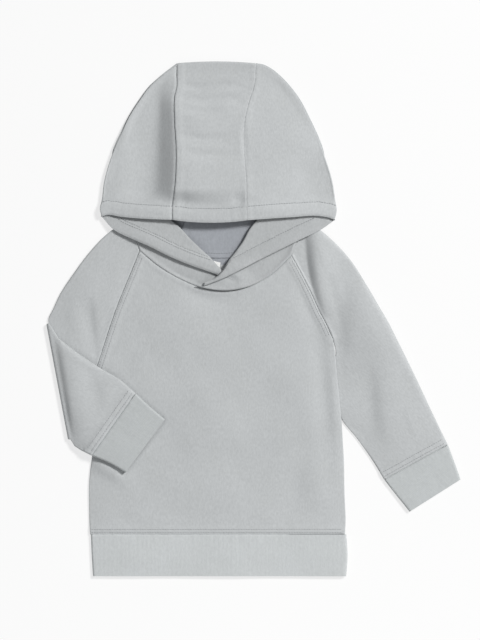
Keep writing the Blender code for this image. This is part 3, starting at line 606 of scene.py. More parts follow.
FRONT_CREASES = [
    Crease([(-65, 178), (-79, 160), (-96, 138), (-110, 119)], -2.2, 3.0, 3.6, 0.15),
    Crease([(-152, 133), (-132, 125), (-108, 111)], 2.4, 8, 8, 0.3),
    Crease([(108, 292), (114, 262), (119, 222), (122, 178), (121, 146)], -1.9, 10, 12),
    Crease([(128, 262), (131, 226), (135, 190), (138, 150), (139, 90)], 1.3, 8, 8),
    Crease([(93, 172), (92, 130), (86, 84), (82, 60)], -1.0, 13, 16),
    Crease([(112, 150), (110, 110), (108, 70)], 0.9, 14, 14),
    Crease([(126, 120), (124, 90), (128, 64)], 0.5, 12, 12),
    Crease([(88, 340), (97, 318), (108, 292), (114, 272)], -0.9, 8, 7),
    Crease([(-46, 331), (-24, 321), (2, 317), (24, 320)], -1.5, 6, 10),
    Crease([(-108, 270), (-104, 240), (-108, 206)], -0.5, 12, 14),
    Crease([(-66, 300), (-60, 262), (-62, 220)], -0.4, 22, 18),
    Crease([(-120, 96), (-116, 74), (-104, 62), (-70, 58)], -0.4, 8, 10),
    Crease([(40, 66), (66, 62), (92, 62), (118, 68)], 0.35, 8, 6),
    Crease([(-96, 64), (-60, 62), (-20, 65)], 0.35, 7, 6),
    Crease([(-62, 200), (-30, 184), (6, 178)], -0.25, 16, 16),
]


CREASE_ONSET = 2.5  # how soon inside the front's edges its creases are full
FRONT_CURL, BACK_CURL = 0.6, 0.5  # radii at which the free side edges turn to each other


def front():
    """The front panel, with its creases and seams."""
    across, up = BODY_ACROSS, BODY_UP
    left_raglan = [row.front for row in LEFT_SLEEVE[: UNDERARM + 1]]
    right_raglan = [row.front for row in RIGHT_UPPER_ARM[: UNDERARM + 1]]
    right_levels = [row.start_level for row in RIGHT_UPPER_ARM[: UNDERARM + 1]][::-1]
    left = body_edge(FRONT_RIGHT_SIDE, right_raglan, right_levels, -SEAM_GAP / 2, up)
    right = body_edge(FRONT_LEFT_SIDE, left_raglan, SEAM_LEVEL, SEAM_GAP / 2, up)
    band_level = WAISTBAND[0].fold_level
    waist = WAIST_EDGE_LEVEL + (band_level - WAIST_EDGE_LEVEL) * (1 - np.abs(2 * across - 1) ** WAIST_POWER)
    surface = body_panel(FRONT_NECK, SEAM_LEVEL, left, right, waist, across, up)
    crown = (1 - np.abs(2 * across - 1) ** CROWN_POWER)[None, :] * np.sin(np.pi * up)[:, None]
    inner = crown**0.5
    surface[..., 2] += BODY_CROWN * crown + unevenness(surface) * inner
    surface[..., 2] += crease_height(surface, FRONT_CREASES) * np.clip(inner * CREASE_ONSET, 0, 1)
    seam = up >= SIDE_PART
    surface[..., 2] += seam_height(surface, surface[-1], NECK)
    for line in (surface[0], surface[seam, -1], surface[seam, 0]):
        surface[..., 2] += seam_height(surface, line, STITCHED)
    for side in (0, -1):
        curl(surface, surface[~seam, side], FRONT_CURL, -1)
    surface[..., 2] = np.maximum(surface[..., 2], EDGE_LEVEL - GAP)
    return surface


def back():
    """The back panel, flat on the table."""
    across = graded(290, 0.5, 4.5)
    up = graded(330, 0.5, 4.5)
    right_raglan = [row.back for row in RIGHT_UPPER_ARM[: UNDERARM + 1]]
    left_raglan = [row.back for row in LEFT_SLEEVE[: UNDERARM + 1]]
    left = body_edge(BACK_RIGHT_SIDE, right_raglan, TABLE_LEVEL, -SEAM_GAP / 2, up)
    right = body_edge(BACK_LEFT_SIDE, left_raglan, TABLE_LEVEL, SEAM_GAP / 2, up)
    surface = body_panel(BACK_NECK, TABLE_LEVEL, left, right, TABLE_LEVEL, across, up)
    for side in (0, -1):
        curl(surface, surface[up < SIDE_PART, side], BACK_CURL, 1)
    return surface


# ---- hood ----

# Shares at which the hood's parts have points: up the outline, and across the lowest layer, the under part,
# the lapel and the upper layer. TURNS are the angles of a rolled edge's points.
HOOD_UP = np.concatenate([graded(62, 0.4, 2.2, ends=(True, False)) * 0.3, np.linspace(0.3, 1, 58)[1:]])
LOW = np.linspace(0, 1, 22)
UNDER = graded(34, 0.3, 3.2, ends=(True, False))
LAPEL = graded(34, 0.4, 2.0, ends=(False, True))
TOP = graded(85, 0.3, 2.2, ends=(False, True))
TURNS = np.linspace(-72, 72, 7)
SLEEVE_TOP = 8  # points along the top of the sleeve, where the hood's neck seam starts
NECK_POINTS = 64  # and on the front neck from there to the tip


def half_width(side, y):
    """How far a side's outline is from the centre line at a height of the page."""
    outline = np.array(side.outline)
    return np.interp(y, outline[:, 1], np.abs(outline[:, 0]))


def top_level(x, y):
    """Height of the hood's upper layer, a low dome that dies out at the outline and the crown."""
    x, y = np.asarray(x, float), np.asarray(y, float)
    reach = np.where(x > 0, half_width(LEFT_HOOD, y), half_width(RIGHT_HOOD, y)) - DOME_INSET
    dome = np.clip(1 - (x / reach) ** 2, 0, 1)
    up = np.clip((y - HEM_Y) / HOOD_FADE, 0, 1)
    return CORNER_TOP + (CROWN_TOP - CORNER_TOP) * up + HOOD_RISE * dome * (1 - up**2)


def lapel_row(neck, roll, free, under_level, roll_level, free_level, radius):
    """From the neck seam up the hood's under part, round the roll, and back along the lapel to its edge."""
    outward = unit(roll - (neck + free) / 2)
    centre = roll - (radius + CLOTH / 2) * outward
    under = sloped(neck, centre, under_level, roll_level, UNDER)
    over_level = roll_level + 2 * radius
    lapel = sloped(centre, free, over_level, free_level, LAPEL)
    return np.vstack([under, turn(centre, outward, roll_level, over_level, TURNS), lapel])


def neck_line(side):
    """The neck seam of one side of the hood: from its neck point, down the sleeve's top and on to the tip."""
    sleeve = side.sleeve
    outward = unit(np.subtract(sleeve.fold, np.add(sleeve.front, sleeve.back) / 2))
    radius = abs(sleeve.fold_level - sleeve.back_level) / 2
    point = np.asarray(sleeve.fold) - (radius + CLOTH / 2) * outward
    start, end = (1, side.tip) if side.sign > 0 else (0, side.tip)
    neck = raised(along(FRONT_NECK, np.linspace(start, end, NECK_POINTS)), SEAM_LEVEL)
    sleeve_top = between([*point, sleeve.fold_level], neck[0], np.linspace(0, 1, SLEEVE_TOP))
    return np.vstack([sleeve_top[:-1], neck]), point, outward


def hood_side(side):
    """Two surfaces of one side of the hood: the main one from the corner to the crown, and the lapel.

    A row of the main surface runs from the strip's lower seam outwards along the lowest layer, back inwards
    in the pleat's under part, outwards along the rolled edge and over to the strip's upper seam. Beyond the
    pleat it is one plain turn round the outline.
    """
    sign = side.sign
    neck, neck_point, neck_outward = neck_line(side)
    neck = sideways(neck, -sign * SEAM_GAP / 2)
    neck_point = neck_point + np.array([-sign * 2 * GAP, GAP])
    neck[0, :2] = neck_point
    shares = np.concatenate([[0], np.cumsum(np.linalg.norm(np.diff(neck[:, :2], axis=0), axis=1))])
    shares = shares / shares[-1]
    roll = along(side.roll, shares)
    free = along(side.free_edge, shares)
    lift = side.lift * fade((neck[:, 0] - LIFT_TO) / (LIFT_FROM - LIFT_TO))
    free_lift = side.lift * fade((free[:, 0] - LIFT_TO) / (LIFT_FROM - LIFT_TO))
    end = 1 - fade((shares - 0.5) / TIP_SPREAD)
    roll_levels = ROLL_LEVEL + (TIP_LEVEL - ROLL_LEVEL) * end + lift
    radii = side.roll_radius + (TIP_RADIUS - side.roll_radius) * end
    corner = fade(shares / CORNER_SPREAD)
    free_levels = LAPEL_LEVEL + (TIP_FREE_LEVEL - LAPEL_LEVEL) * end + free_lift
    free_levels += (CORNER_LEVEL - LAPEL_LEVEL) * corner
    parts = zip(neck[:, :2], roll, free, neck[:, 2] + lift, roll_levels, free_levels, radii)
    lapel = np.array([lapel_row(*part) for part in parts])

    v = HOOD_UP
    rim = along(side.outline, v)
    ahead = along(side.outline, np.clip(v + OUTLINE_STEP, 0, 1))
    tangent = ahead - along(side.outline, np.clip(v - OUTLINE_STEP, 0, 1))
    normal = np.column_stack([tangent[:, 1], -tangent[:, 0]]) * sign
    normal /= np.linalg.norm(normal, axis=1)[:, None]
    normal[-1] = (0, 1)
    gathered = along(side.outline, [PLEAT_SHARE])[0]
    low_seam = along(side.low_seam, v)
    top_seam = along(side.top_seam, v)
    half_neck = BACK_NECK[3:] if sign > 0 else BACK_NECK[3::-1]
    back_neck = along(half_neck, NECK_SHARE + (1 - NECK_SHARE) * np.clip(LOW / NECK_PART, 0, 1))
    back_neck[:, 1] += 2 * GAP
    past_end = np.clip((LOW - NECK_PART) / (1 - NECK_PART), 0, 1)[:, None]
    low_edge = back_neck * (1 - past_end) + neck_point * past_end
    low_edge[0] = side.low_seam[0]
    hem = along(side.hem, TOP)
    start_row = lapel[0]
    start_levels = start_row[[0, len(UNDER) - 1, len(UNDER) + len(TURNS), -1], 2]
    rows = []
    for i, share in enumerate(v):
        pleat = fade(share / PLEAT_SHARE)
        slide = np.clip(share / PLEAT_SHARE, 0, 1)
        inner = neck_point * (1 - slide) + gathered * slide
        inner_outward = unit(neck_outward * (1 - slide) + normal[i] * slide)
        run_out = gathered - GATHER_INSET * normal[i]
        roll_centre = start_row[len(UNDER) - 1, :2] * (1 - slide) + run_out * slide
        levels = start_levels * (1 - slide) + np.array(GATHERED) * slide
        under_level, roll_level, over_level, free_level = levels
        outer_radius = (CORNER_TOP - free_level) / 2
        outer = rim[i] - (outer_radius + CLOTH / 2) * normal[i]
        if i == 0:
            outer = start_row[-1, :2]
        roll_outward = unit(roll_centre - (inner + outer) / 2)
        low_part = raised(between(low_seam[i], inner, LOW), TABLE_LEVEL)
        bend = low_edge - between(low_edge[0], low_edge[-1], LOW)
        low_part[:, :2] += bend * fade(share / LOW_BEND_SPREAD)
        pleated = [
            low_part,
            turn(inner, inner_outward, TABLE_LEVEL, under_level, TURNS),
            sloped(inner, roll_centre, under_level, roll_level, UNDER),
            turn(roll_centre, roll_outward, roll_level, over_level, TURNS),
            sloped(roll_centre, outer, over_level, free_level, LAPEL),
            turn(outer, normal[i], free_level, CORNER_TOP, TURNS),
        ]
        middle = sum(len(part) for part in pleated[1:])
        edge = rim[i] - CLOTH / 2 * normal[i]
        edge_top = float(top_level(edge[0], edge[1]))
        radius = (edge_top - TABLE_LEVEL) / 2
        plain_centre = edge - radius * normal[i]
        plain = [
            raised(between(low_seam[i], plain_centre, LOW), TABLE_LEVEL),
            turn(plain_centre, normal[i], TABLE_LEVEL, edge_top, np.linspace(-90, 90, middle + 2)[1:-1]),
        ]
        outer_end = outer * pleat + plain_centre * (1 - pleat)
        top_part = between(outer_end, top_seam[i], TOP)
        bend = hem - between(hem[0], hem[-1], TOP)
        top_part += bend * fade(share / CORNER_SPREAD)
        top_part = raised(top_part, top_level(top_part[:, 0], top_part[:, 1]))
        rest = np.vstack(pleated) * pleat + np.vstack(plain) * (1 - pleat)
        if i == 0:
            first = len(LOW) + len(TURNS)
            rest[first : first + len(start_row)] = start_row
        rows.append(np.vstack([rest, top_part]))
    return np.array(rows), lapel


def strip_edge(main):
    """The seam of the centre strip: up the side's first column, across its last row, down its last column."""
    return np.vstack([main[:-1, 0], main[-1], main[-2::-1, -1]])


STRIP_ACROSS = graded(82, 0.3, 2.2)


def hood_centre(left_main, right_main):
    """The strip between the two sides of the hood, from the back of the neck over the crown to the hem."""
    left, right = strip_edge(left_main), strip_edge(right_main)
    left[:, 0] -= SEAM_GAP
    right[:, 0] += SEAM_GAP
    across = STRIP_ACROSS[None, :, None]
    surface = right[:, None] * (1 - across) + left[:, None] * across
    bulge = 1 - (2 * across[..., 0] - 1) ** 2
    count = len(left_main)
    on_top = np.arange(len(left)) >= len(left) - count
    domed = on_top[:, None] * fade((surface[:, :, 1] - CROWN_FROM) / (CROWN_TO - CROWN_FROM))
    surface[:, :, 2] += domed * (top_level(surface[:, :, 0], surface[:, :, 1]) - surface[:, :, 2])
    crown = fade((BULGE_FROM - surface[:, :, 1]) / BULGE_DEPTH)
    surface[:, :, 1] += CROWN_BULGE * bulge * crown
    surface[-1, :, 1] += HEM_MIDDLE * bulge[0]
    surface[0, :, 1] += (BACK_NECK[3][1] - BACK_NECK[4][1]) * bulge[0] + GAP
    return surface, on_top


# ---- sleeves ----


def seam_moved(rows, distance):
    """Sleeve sections with their raglan ends moved away from the body."""
    seam = rows[: UNDERARM + 1]
    fronts = sideways(np.array([row.front for row in seam], float), distance)
    backs = sideways(np.array([row.back for row in seam], float), distance)
    moved = [row._replace(front=tuple(f), back=tuple(b)) for row, f, b in zip(seam, fronts, backs)]
    return moved + list(rows[UNDERARM + 1 :])


def places_along(rows, first, widest, ends=(True, True)):
    """Places among the rows, spaced by the distance between the middles of their sections."""
    middles = np.array([np.add(row.front, row.fold) / 2 for row in rows])
    run = np.concatenate([[0], np.cumsum(np.linalg.norm(np.diff(middles, axis=0), axis=1))])
    return np.interp(graded(run[-1], first, widest, ends=ends) * run[-1], run, np.arange(len(rows)))


LAYER_POINTS = len(LAYER) + 3
RING_POINTS = 2 * LAYER_POINTS + len(FOLD_TURN)
COLUMN = np.arange(RING_POINTS)
# How much each point of a ring belongs to the layer that starts at the front seam, and to the other.
FRONT_LAYER = fade((COLUMN - LAYER_POINTS + 3) / 5)
BACK_LAYER = FRONT_LAYER[::-1]

ALONG_ARM, ARM_STEP = 0.35, 2.5  # the first and the widest step along a sleeve
LEFT_SLEEVE_CREASES = [
    Crease([(92, 398), (94, 378), (97, 350), (103, 324), (111, 300)], -5.4, 9, 14, 0.5),
    Crease([(112, 398), (112, 378), (114, 350), (119, 320), (127, 294)], 5.2, 19, 11, 0.5),
    Crease([(158, 345), (176, 300), (192, 252), (208, 204)], 2.6, 52, 22, 0.4),
    Crease([(120, 352), (129, 322), (137, 290), (142, 256)], -2.0, 8, 26, 0.5),
    Crease([(140, 342), (143, 310), (144, 270)], -0.9, 7, 12),
    Crease([(158, 346), (160, 312), (158, 272)], 0.6, 16, 9),
    Crease([(170, 246), (172, 218), (175, 182), (178, 148)], -1.3, 9, 16),
    Crease([(184, 244), (187, 212), (191, 178), (198, 142)], 1.2, 15, 9),
    Crease([(140, 246), (146, 212), (158, 178)], -0.5, 10, 9),
    Crease([(206, 262), (216, 228), (226, 196)], -0.5, 14, 10),
    Crease([(222, 168), (232, 150), (238, 138)], -0.5, 10, 9),
]
UPPER_ARM_CREASES = [
    Crease([(-150, 324), (-147, 292), (-142, 254)], -1.6, 5, 11),
    Crease([(-141, 262), (-139, 250), (-138, 240)], -0.9, 4, 5),
    Crease([(-168, 330), (-166, 300), (-164, 276)], 0.7, 10, 9),
    Crease([(-126, 372), (-128, 350), (-134, 322)], -0.6, 9, 12),
]
FOREARM_CREASES = [
    Crease([(-182, 272), (-173, 235), (-165, 188), (-158, 160)], 3.8, 27, 14, 0.5),
    Crease([(-150, 246), (-143, 214), (-140, 186)], -0.9, 9, 12),
    Crease([(-136, 234), (-128, 206), (-128, 184)], 0.5, 8, 8),
    Crease([(-176, 250), (-158, 240), (-140, 228)], -0.5, 6, 8),
    Crease([(-158, 158), (-146, 168), (-132, 172)], -0.5, 7, 7),
]


STRAIGHT_UNEVEN, UPPER_ARM_UNEVEN, FOREARM_UNEVEN = 0.7, 0.6, 0.8  # shares of the wide waves
SLEEVE_CLEAR = 0.1  # how far a trough in the straight sleeve stays above the lowest place for its upper layer
RAGLAN_CALM = 6  # how far from the raglan seam a sleeve has no creases
LEAD_STEP = 2.6  # between the rows from the elbow's crease to the forearm's first section
FOLD_ROWS = (4, 6)  # over how many rows the creases die out before the elbow and set in after it


def with_raglan_seam(surface, height, underarm_point):
    """Calms a sleeve's creases near the raglan seam, and adds the seam, which the body's edge covers."""
    raglan = surface[:, 0]
    underarm = np.argmin(np.linalg.norm(raglan[:, :2] - underarm_point, axis=1))
    seam = raglan[: underarm + 1]
    height = height * (1 - fade(distance_to(surface, seam) / RAGLAN_CALM))
    return height + seam_height(surface, seam, COVERED) + seam_height(surface, surface[0], COVERED)


def left_sleeve():
    """The straight sleeve."""
    rows = seam_moved(LEFT_SLEEVE, SEAM_GAP / 2)
    surface = sleeve_rings(rows, places_along(rows, ALONG_ARM, ARM_STEP))
    height = crease_height(surface, LEFT_SLEEVE_CREASES) + unevenness(surface, STRAIGHT_UNEVEN)
    height = with_raglan_seam(surface, height, UNDERARM_POINTS[0])
    height += seam_height(surface, surface[-1], CUFF_SEAM)
    lowest = np.minimum(surface[..., 2], EDGE_LEVEL + SLEEVE_CLEAR)
    surface[..., 2] = np.maximum(surface[..., 2] + height * FRONT_LAYER, lowest)
    return surface


def right_sleeve():
    """The upper arm, the elbow's crease, where the rings turn over about a level line, and the forearm. Also
    gives the row at which the forearm's cloth starts."""
    rows = seam_moved(RIGHT_UPPER_ARM, -SEAM_GAP / 2)
    upper_arm = sleeve_rings(rows, places_along(rows, ALONG_ARM, ARM_STEP, ends=(True, False)))
    height = crease_height(upper_arm, UPPER_ARM_CREASES) + unevenness(upper_arm, UPPER_ARM_UNEVEN)
    height = with_raglan_seam(upper_arm, height, UNDERARM_POINTS[1])
    to_elbow = np.arange(len(upper_arm))[::-1] / FOLD_ROWS[0]
    height *= (1 - fade(to_elbow))[:, None] * FRONT_LAYER
    upper_arm[..., 2] = np.maximum(upper_arm[..., 2] + height, np.minimum(upper_arm[..., 2], EDGE_LEVEL))

    last = upper_arm[-1]
    crease = unit(np.subtract(rows[-1].fold, rows[-1].front))
    outward = np.array([-crease[1], crease[0]])
    turned = []
    for angle in np.radians(CREASE_DEGREES):
        depth = CREASE_LEVEL - last[:, 2]
        plan = last[:, :2] + (depth * np.sin(angle))[:, None] * outward
        turned.append(np.column_stack([plan, CREASE_LEVEL - depth * np.cos(angle)]))

    places = places_along(RIGHT_FOREARM, ALONG_ARM, ARM_STEP, ends=(False, True))
    forearm = np.array([ring(section_at(RIGHT_FOREARM, at), True) for at in places])
    reach = np.linalg.norm((forearm[0] - turned[-1])[:, :2], axis=1).mean()
    steps = np.linspace(0, 1, round(reach / LEAD_STEP) + 1)[1:-1]
    lead = [turned[-1] * (1 - step) + forearm[0] * step for step in steps]
    forearm = np.array([*lead, *forearm])
    height = crease_height(forearm, FOREARM_CREASES) + unevenness(forearm, FOREARM_UNEVEN)
    from_elbow = np.arange(len(forearm)) / FOLD_ROWS[1]
    height *= (1 - fade(from_elbow))[:, None]
    height += seam_height(forearm, forearm[-1], CUFF_SEAM)
    forearm[..., 2] += height * BACK_LAYER
    return np.array([*upper_arm, *turned, *forearm]), len(upper_arm) + len(turned) // 2


# ---- objects ----

SAME_POINT = 0.01  # points this close are one
RIM_SHARE = 0.3  # share of the wall over which a rim is rounded
RIM_DEGREES = 55  # edges sharper than this are rims


def placed(name, data):
    """A new object in the scene."""
    made = bpy.data.objects.new(name, data)
    bpy.context.scene.collection.objects.link(made)
    return made


def cloth(name, surfaces, wall, materials, closed=False, thin=None, patches=None):
    """A piece of cloth from surfaces that share an edge. closed joins the ends of each row. thin holds, for
    each surface, the share of the wall at each point. patches holds, for each surface, the rows and columns,
    from and to, that take another material than the first, and that material's number."""
    mesh = bmesh.new()
    layer = mesh.verts.layers.deform.verify()
    for index, surface in enumerate(surfaces):
        shares = np.ones(surface.shape[:2]) if thin is None else thin[index]
        verts = []
        for points, row_shares in zip((surface + SHIFT) * MM, shares):
            row = [mesh.verts.new(point) for point in points]
            for vert, share in zip(row, row_shares):
                vert[layer][0] = share
            verts.append(row)
        columns = len(verts[0]) if closed else len(verts[0]) - 1
        for count, (lower, upper) in enumerate(zip(verts, verts[1:])):
            for i in range(columns):
                j = (i + 1) % len(lower)
                face = mesh.faces.new((lower[i], lower[j], upper[j], upper[i]))
                face.smooth = True
                if patches is not None:
                    row_from, row_to, column_from, column_to, number = patches[index]
                    if row_from <= count < row_to and column_from <= i < column_to:
                        face.material_index = number
    bmesh.ops.remove_doubles(mesh, verts=mesh.verts, dist=SAME_POINT * MM)
    bmesh.ops.recalc_face_normals(mesh, faces=mesh.faces)
    data = bpy.data.meshes.new(name)
    mesh.to_mesh(data)
    mesh.free()
    for material in materials:
        data.materials.append(material)
    made = placed(name, data)
    made.vertex_groups.new(name="wall")
    solidify = made.modifiers.new("wall", "SOLIDIFY")
    solidify.thickness = wall * MM
    solidify.offset = 0
    solidify.use_even_offset = False
    if thin is not None:
        solidify.vertex_group = "wall"
    rim = made.modifiers.new("rounded rim", "BEVEL")
    rim.width = RIM_SHARE * wall * MM
    rim.segments = 3
    rim.limit_method = "ANGLE"
    rim.angle_limit = math.radians(RIM_DEGREES)
    rim.use_clamp_overlap = True
    return made


# ---- stitches ----

STITCH_LENGTH = 2.3
STITCH_STEP = 2.9
THREAD_RADIUS = 0.33
THREAD_RISE = 0.08  # how far the middle of a stitch's thread lies above the cloth
ABOVE = 60  # from where the cloth below a stitch is looked for
# Along a stitch: position as a share of its length, radius as a share of the thread's, and how far it sinks.
STITCH_PROFILE = ((-0.5, 0.35, 0.30), (-0.36, 0.9, 0.06), (0.36, 0.9, 0.06), (0.5, 0.35, 0.30))
THREAD_SIDES = 6


def surface_tree(surface):
    """A tree of a surface's faces, to find the height of the cloth under a stitch."""
    rows, columns = surface.shape[:2]
    index = np.arange(rows * columns).reshape(rows, columns)
    quads = np.stack([index[:-1, :-1], index[:-1, 1:], index[1:, 1:], index[1:, :-1]], axis=-1).reshape(-1, 4)
    return BVHTree.FromPolygons([Vector(p) for p in surface.reshape(-1, 3)], quads.tolist())


def stitch_row(tree, path, wall, skip=0):
    """Centres, directions and normals of the stitches along a path in plan."""
    path = np.asarray(path, float)[:, :2]
    run = np.concatenate([[0], np.cumsum(np.linalg.norm(np.diff(path, axis=0), axis=1))])
    found = []
    for at in np.arange(STITCH_STEP / 2 + skip, run[-1] - STITCH_STEP / 2 - skip, STITCH_STEP):
        x, y = np.interp(at, run, path[:, 0]), np.interp(at, run, path[:, 1])
        ahead = np.interp(at + 1, run, path[:, 0]) - x, np.interp(at + 1, run, path[:, 1]) - y
        place, normal, _, _ = tree.ray_cast(Vector((x, y, ABOVE)), Vector((0, 0, -1)))
        if place is None:
            continue
        normal = normal if normal.z > 0 else -normal
        direction = Vector((*ahead, 0))
        direction = (direction - normal * direction.dot(normal)).normalized()
        found.append((place + normal * (wall / 2), direction, normal))
    return found


def stitches(name, rows, material):
    """One piece of all the stitches of some rows, each a short length of thread that dives in at its ends."""
    verts, faces = [], []
    for centre, direction, normal in (stitch for row in rows for stitch in row):
        side = direction.cross(normal)
        first = len(verts)
        for along_share, radius, sink in STITCH_PROFILE:
            middle = centre + direction * (along_share * STITCH_LENGTH) + normal * (THREAD_RISE - sink)
            for k in range(THREAD_SIDES):
                angle = 2 * math.pi * k / THREAD_SIDES
                offset = side * math.cos(angle) + normal * math.sin(angle)
                verts.append((middle + offset * (radius * THREAD_RADIUS) + Vector(SHIFT)) * MM)
        for level in range(len(STITCH_PROFILE) - 1):
            for k in range(THREAD_SIDES):
                a = first + level * THREAD_SIDES + k
                b = first + level * THREAD_SIDES + (k + 1) % THREAD_SIDES
                faces.append((a, b, b + THREAD_SIDES, a + THREAD_SIDES))
        end = first + (len(STITCH_PROFILE) - 1) * THREAD_SIDES
        faces.append(tuple(first + k for k in reversed(range(THREAD_SIDES))))
        faces.append(tuple(end + k for k in range(THREAD_SIDES)))
    data = bpy.data.meshes.new(name)
    data.from_pydata(verts, [], faces)
    data.update()
    data.shade_smooth()
    data.materials.append(material)
    return placed(name, data)


# ---- materials ----


def new_material(name):
    """A material, with its nodes, links and shader."""
    made = bpy.data.materials.new(name)
    made.use_nodes = True
    nodes = made.node_tree.nodes
    return made, nodes, made.node_tree.links, nodes["Principled BSDF"]


def node(nodes, kind, inputs=None, **settings):
    """A new node with values for its sockets and its settings."""
    made = nodes.new(kind)
    for key, value in settings.items():
        setattr(made, key, value)
    for key, value in (inputs or {}).items():
        made.inputs[key].default_value = value
    return made


def mixed(nodes, links, factor, first, second, **settings):
    """A colour between two, each a colour or a node's socket. factor is a socket or a number."""
    mix = node(nodes, "ShaderNodeMix", data_type="RGBA", **settings)
    for socket, value in ((mix.inputs["Factor"], factor), (mix.inputs[6], first), (mix.inputs[7], second)):
        if isinstance(value, bpy.types.NodeSocket):
            links.new(value, socket)
        else:
            socket.default_value = (*value, 1) if isinstance(value, tuple) else value
    return mix.outputs[2]


def bumped(nodes, links, shader, height, strength, depth):
    """Gives the shader the relief of a pattern, whose depth is in millimetres."""
    bump = node(nodes, "ShaderNodeBump", inputs={"Strength": strength, "Distance": depth * MM})
    links.new(height, bump.inputs["Height"])
    links.new(bump.outputs["Normal"], shader.inputs["Normal"])


def ranged(nodes, links, value, low, high, to_low, to_high):
    """A number's range stretched to another one."""
    made = node(nodes, "ShaderNodeMapRange")
    links.new(value, made.inputs["Value"])
    for key, number in zip(("From Min", "From Max", "To Min", "To Max"), (low, high, to_low, to_high)):
        made.inputs[key].default_value = number
    return made.outputs["Result"]


WALE = 1.15  # width of a column of knit stitches, mm
COURSE = 0.85  # height of a row of them
FIBRE_SPREAD = 0.075  # how much darker and paler than the cloth its fibres are
WAVE_TURNS = 20.0  # a Wave texture's own factor: it has this many radians to a unit


def stripes(nodes, links, mapping, direction, period, distortion):
    """Soft stripes with a period in millimetres."""
    wave = node(
        nodes, "ShaderNodeTexWave", wave_type="BANDS", bands_direction=direction, wave_profile="SIN",
        inputs={
            "Scale": 2 * math.pi / (WAVE_TURNS * period * MM), "Distortion": distortion, "Detail": 1.0,
            "Detail Scale": 0.3, "Detail Roughness": 0.5,
        },
    )
    links.new(mapping, wave.inputs["Vector"])
    return wave.outputs["Fac"]


def knit(name, grain, colour, wale=WALE, contrast=1.0):
    """Heather grey knit: paler and darker fibres, the columns and rows of its stitches, a soft nap and a
    little broad unevenness. grain is the direction of the columns in degrees from the y axis."""
    made, nodes, links, shader = new_material(name)
    place = node(nodes, "ShaderNodeTexCoord").outputs["Object"]
    mapping = node(nodes, "ShaderNodeMapping", inputs={"Rotation": (0, 0, math.radians(-grain))})
    links.new(place, mapping.inputs["Vector"])
    turned = mapping.outputs["Vector"]
    fibre_map = node(nodes, "ShaderNodeMapping", inputs={"Scale": (1, 0.45, 1)})
    links.new(turned, fibre_map.inputs["Vector"])

    fibres = node(nodes, "ShaderNodeTexNoise", inputs={"Scale": 620, "Detail": 3, "Roughness": 0.6})
    links.new(fibre_map.outputs["Vector"], fibres.inputs["Vector"])
    cloudy = node(nodes, "ShaderNodeTexNoise", inputs={"Scale": 26, "Detail": 3, "Roughness": 0.55})
    links.new(turned, cloudy.inputs["Vector"])
    fibre = ranged(nodes, links, fibres.outputs["Fac"], 0.3, 0.7, 0, 1)
    cloud = ranged(nodes, links, cloudy.outputs["Fac"], 0.3, 0.7, 0, 1)
    spread = FIBRE_SPREAD * contrast
    dark = tuple(c * (1 - spread) for c in colour)
    pale = tuple(min(1, c * (1 + spread)) for c in colour)
    heather = mixed(nodes, links, fibre, dark, pale)
    clouds = mixed(nodes, links, cloud, (0.975, 0.975, 0.97), (1.0, 1.0, 1.0))
    shade = mixed(nodes, links, 1.0, heather, clouds, blend_type="MULTIPLY")

    wales = stripes(nodes, links, turned, "X", wale, 0.5)
    courses = stripes(nodes, links, turned, "Y", COURSE, 0.4)
    knits = node(nodes, "ShaderNodeMath", operation="MULTIPLY")
    links.new(wales, knits.inputs[0])
    links.new(ranged(nodes, links, courses, 0, 1, 0.55, 1), knits.inputs[1])
    # The hollows between the stitches darken the colour a little: painted shade in the knit's grooves.
    groove_shade = ranged(nodes, links, knits.outputs[0], 0, 0.5, 0.93, 1)
    links.new(mixed(nodes, links, 1.0, shade, groove_shade, blend_type="MULTIPLY"), shader.inputs["Base Color"])
    links.new(ranged(nodes, links, fibre, 0, 1, 0.8, 0.94), shader.inputs["Roughness"])

    raised_knit = node(nodes, "ShaderNodeMath", operation="ADD")
    links.new(knits.outputs[0], raised_knit.inputs[0])
    links.new(ranged(nodes, links, fibre, 0, 1, 0, 0.6), raised_knit.inputs[1])
    bumped(nodes, links, shader, raised_knit.outputs[0], 0.35, 0.18)
    shader.inputs["Sheen Weight"].default_value = 0.15
    shader.inputs["Sheen Roughness"].default_value = 0.5
    shader.inputs["Specular IOR Level"].default_value = 0.2
    return made


def woven_label(name, colour):
    """Plain tightly woven tape."""
    made, nodes, links, shader = new_material(name)
    place = node(nodes, "ShaderNodeTexCoord").outputs["Object"]
    weave = node(nodes, "ShaderNodeMath", operation="MULTIPLY")
    links.new(stripes(nodes, links, place, "X", 0.42, 0.1), weave.inputs[0])
    links.new(stripes(nodes, links, place, "Y", 0.36, 0.1), weave.inputs[1])
    darker = tuple(0.92 * c for c in colour)
    links.new(mixed(nodes, links, weave.outputs[0], darker, colour), shader.inputs["Base Color"])
    bumped(nodes, links, shader, weave.outputs[0], 0.3, 0.1)
    shader.inputs["Roughness"].default_value = 0.55
    shader.inputs["Sheen Weight"].default_value = 0.1
    return made


def thread(name, colour):
    """Spun sewing thread, with the fine slanting lines of its plies."""
    made, nodes, links, shader = new_material(name)
    place = node(nodes, "ShaderNodeTexCoord").outputs["Object"]
    mapping = node(nodes, "ShaderNodeMapping", inputs={"Rotation": (0, 0, math.radians(35))})
    links.new(place, mapping.inputs["Vector"])
    plies = stripes(nodes, links, mapping.outputs["Vector"], "X", 0.3, 0.3)
    darker = tuple(0.86 * c for c in colour)
    links.new(mixed(nodes, links, plies, darker, colour), shader.inputs["Base Color"])
    bumped(nodes, links, shader, plies, 0.4, 0.06)
    shader.inputs["Roughness"].default_value = 0.5
    shader.inputs["Sheen Weight"].default_value = 0.1
    return made


def toned(share, colour):
    return tuple(share * c for c in colour)


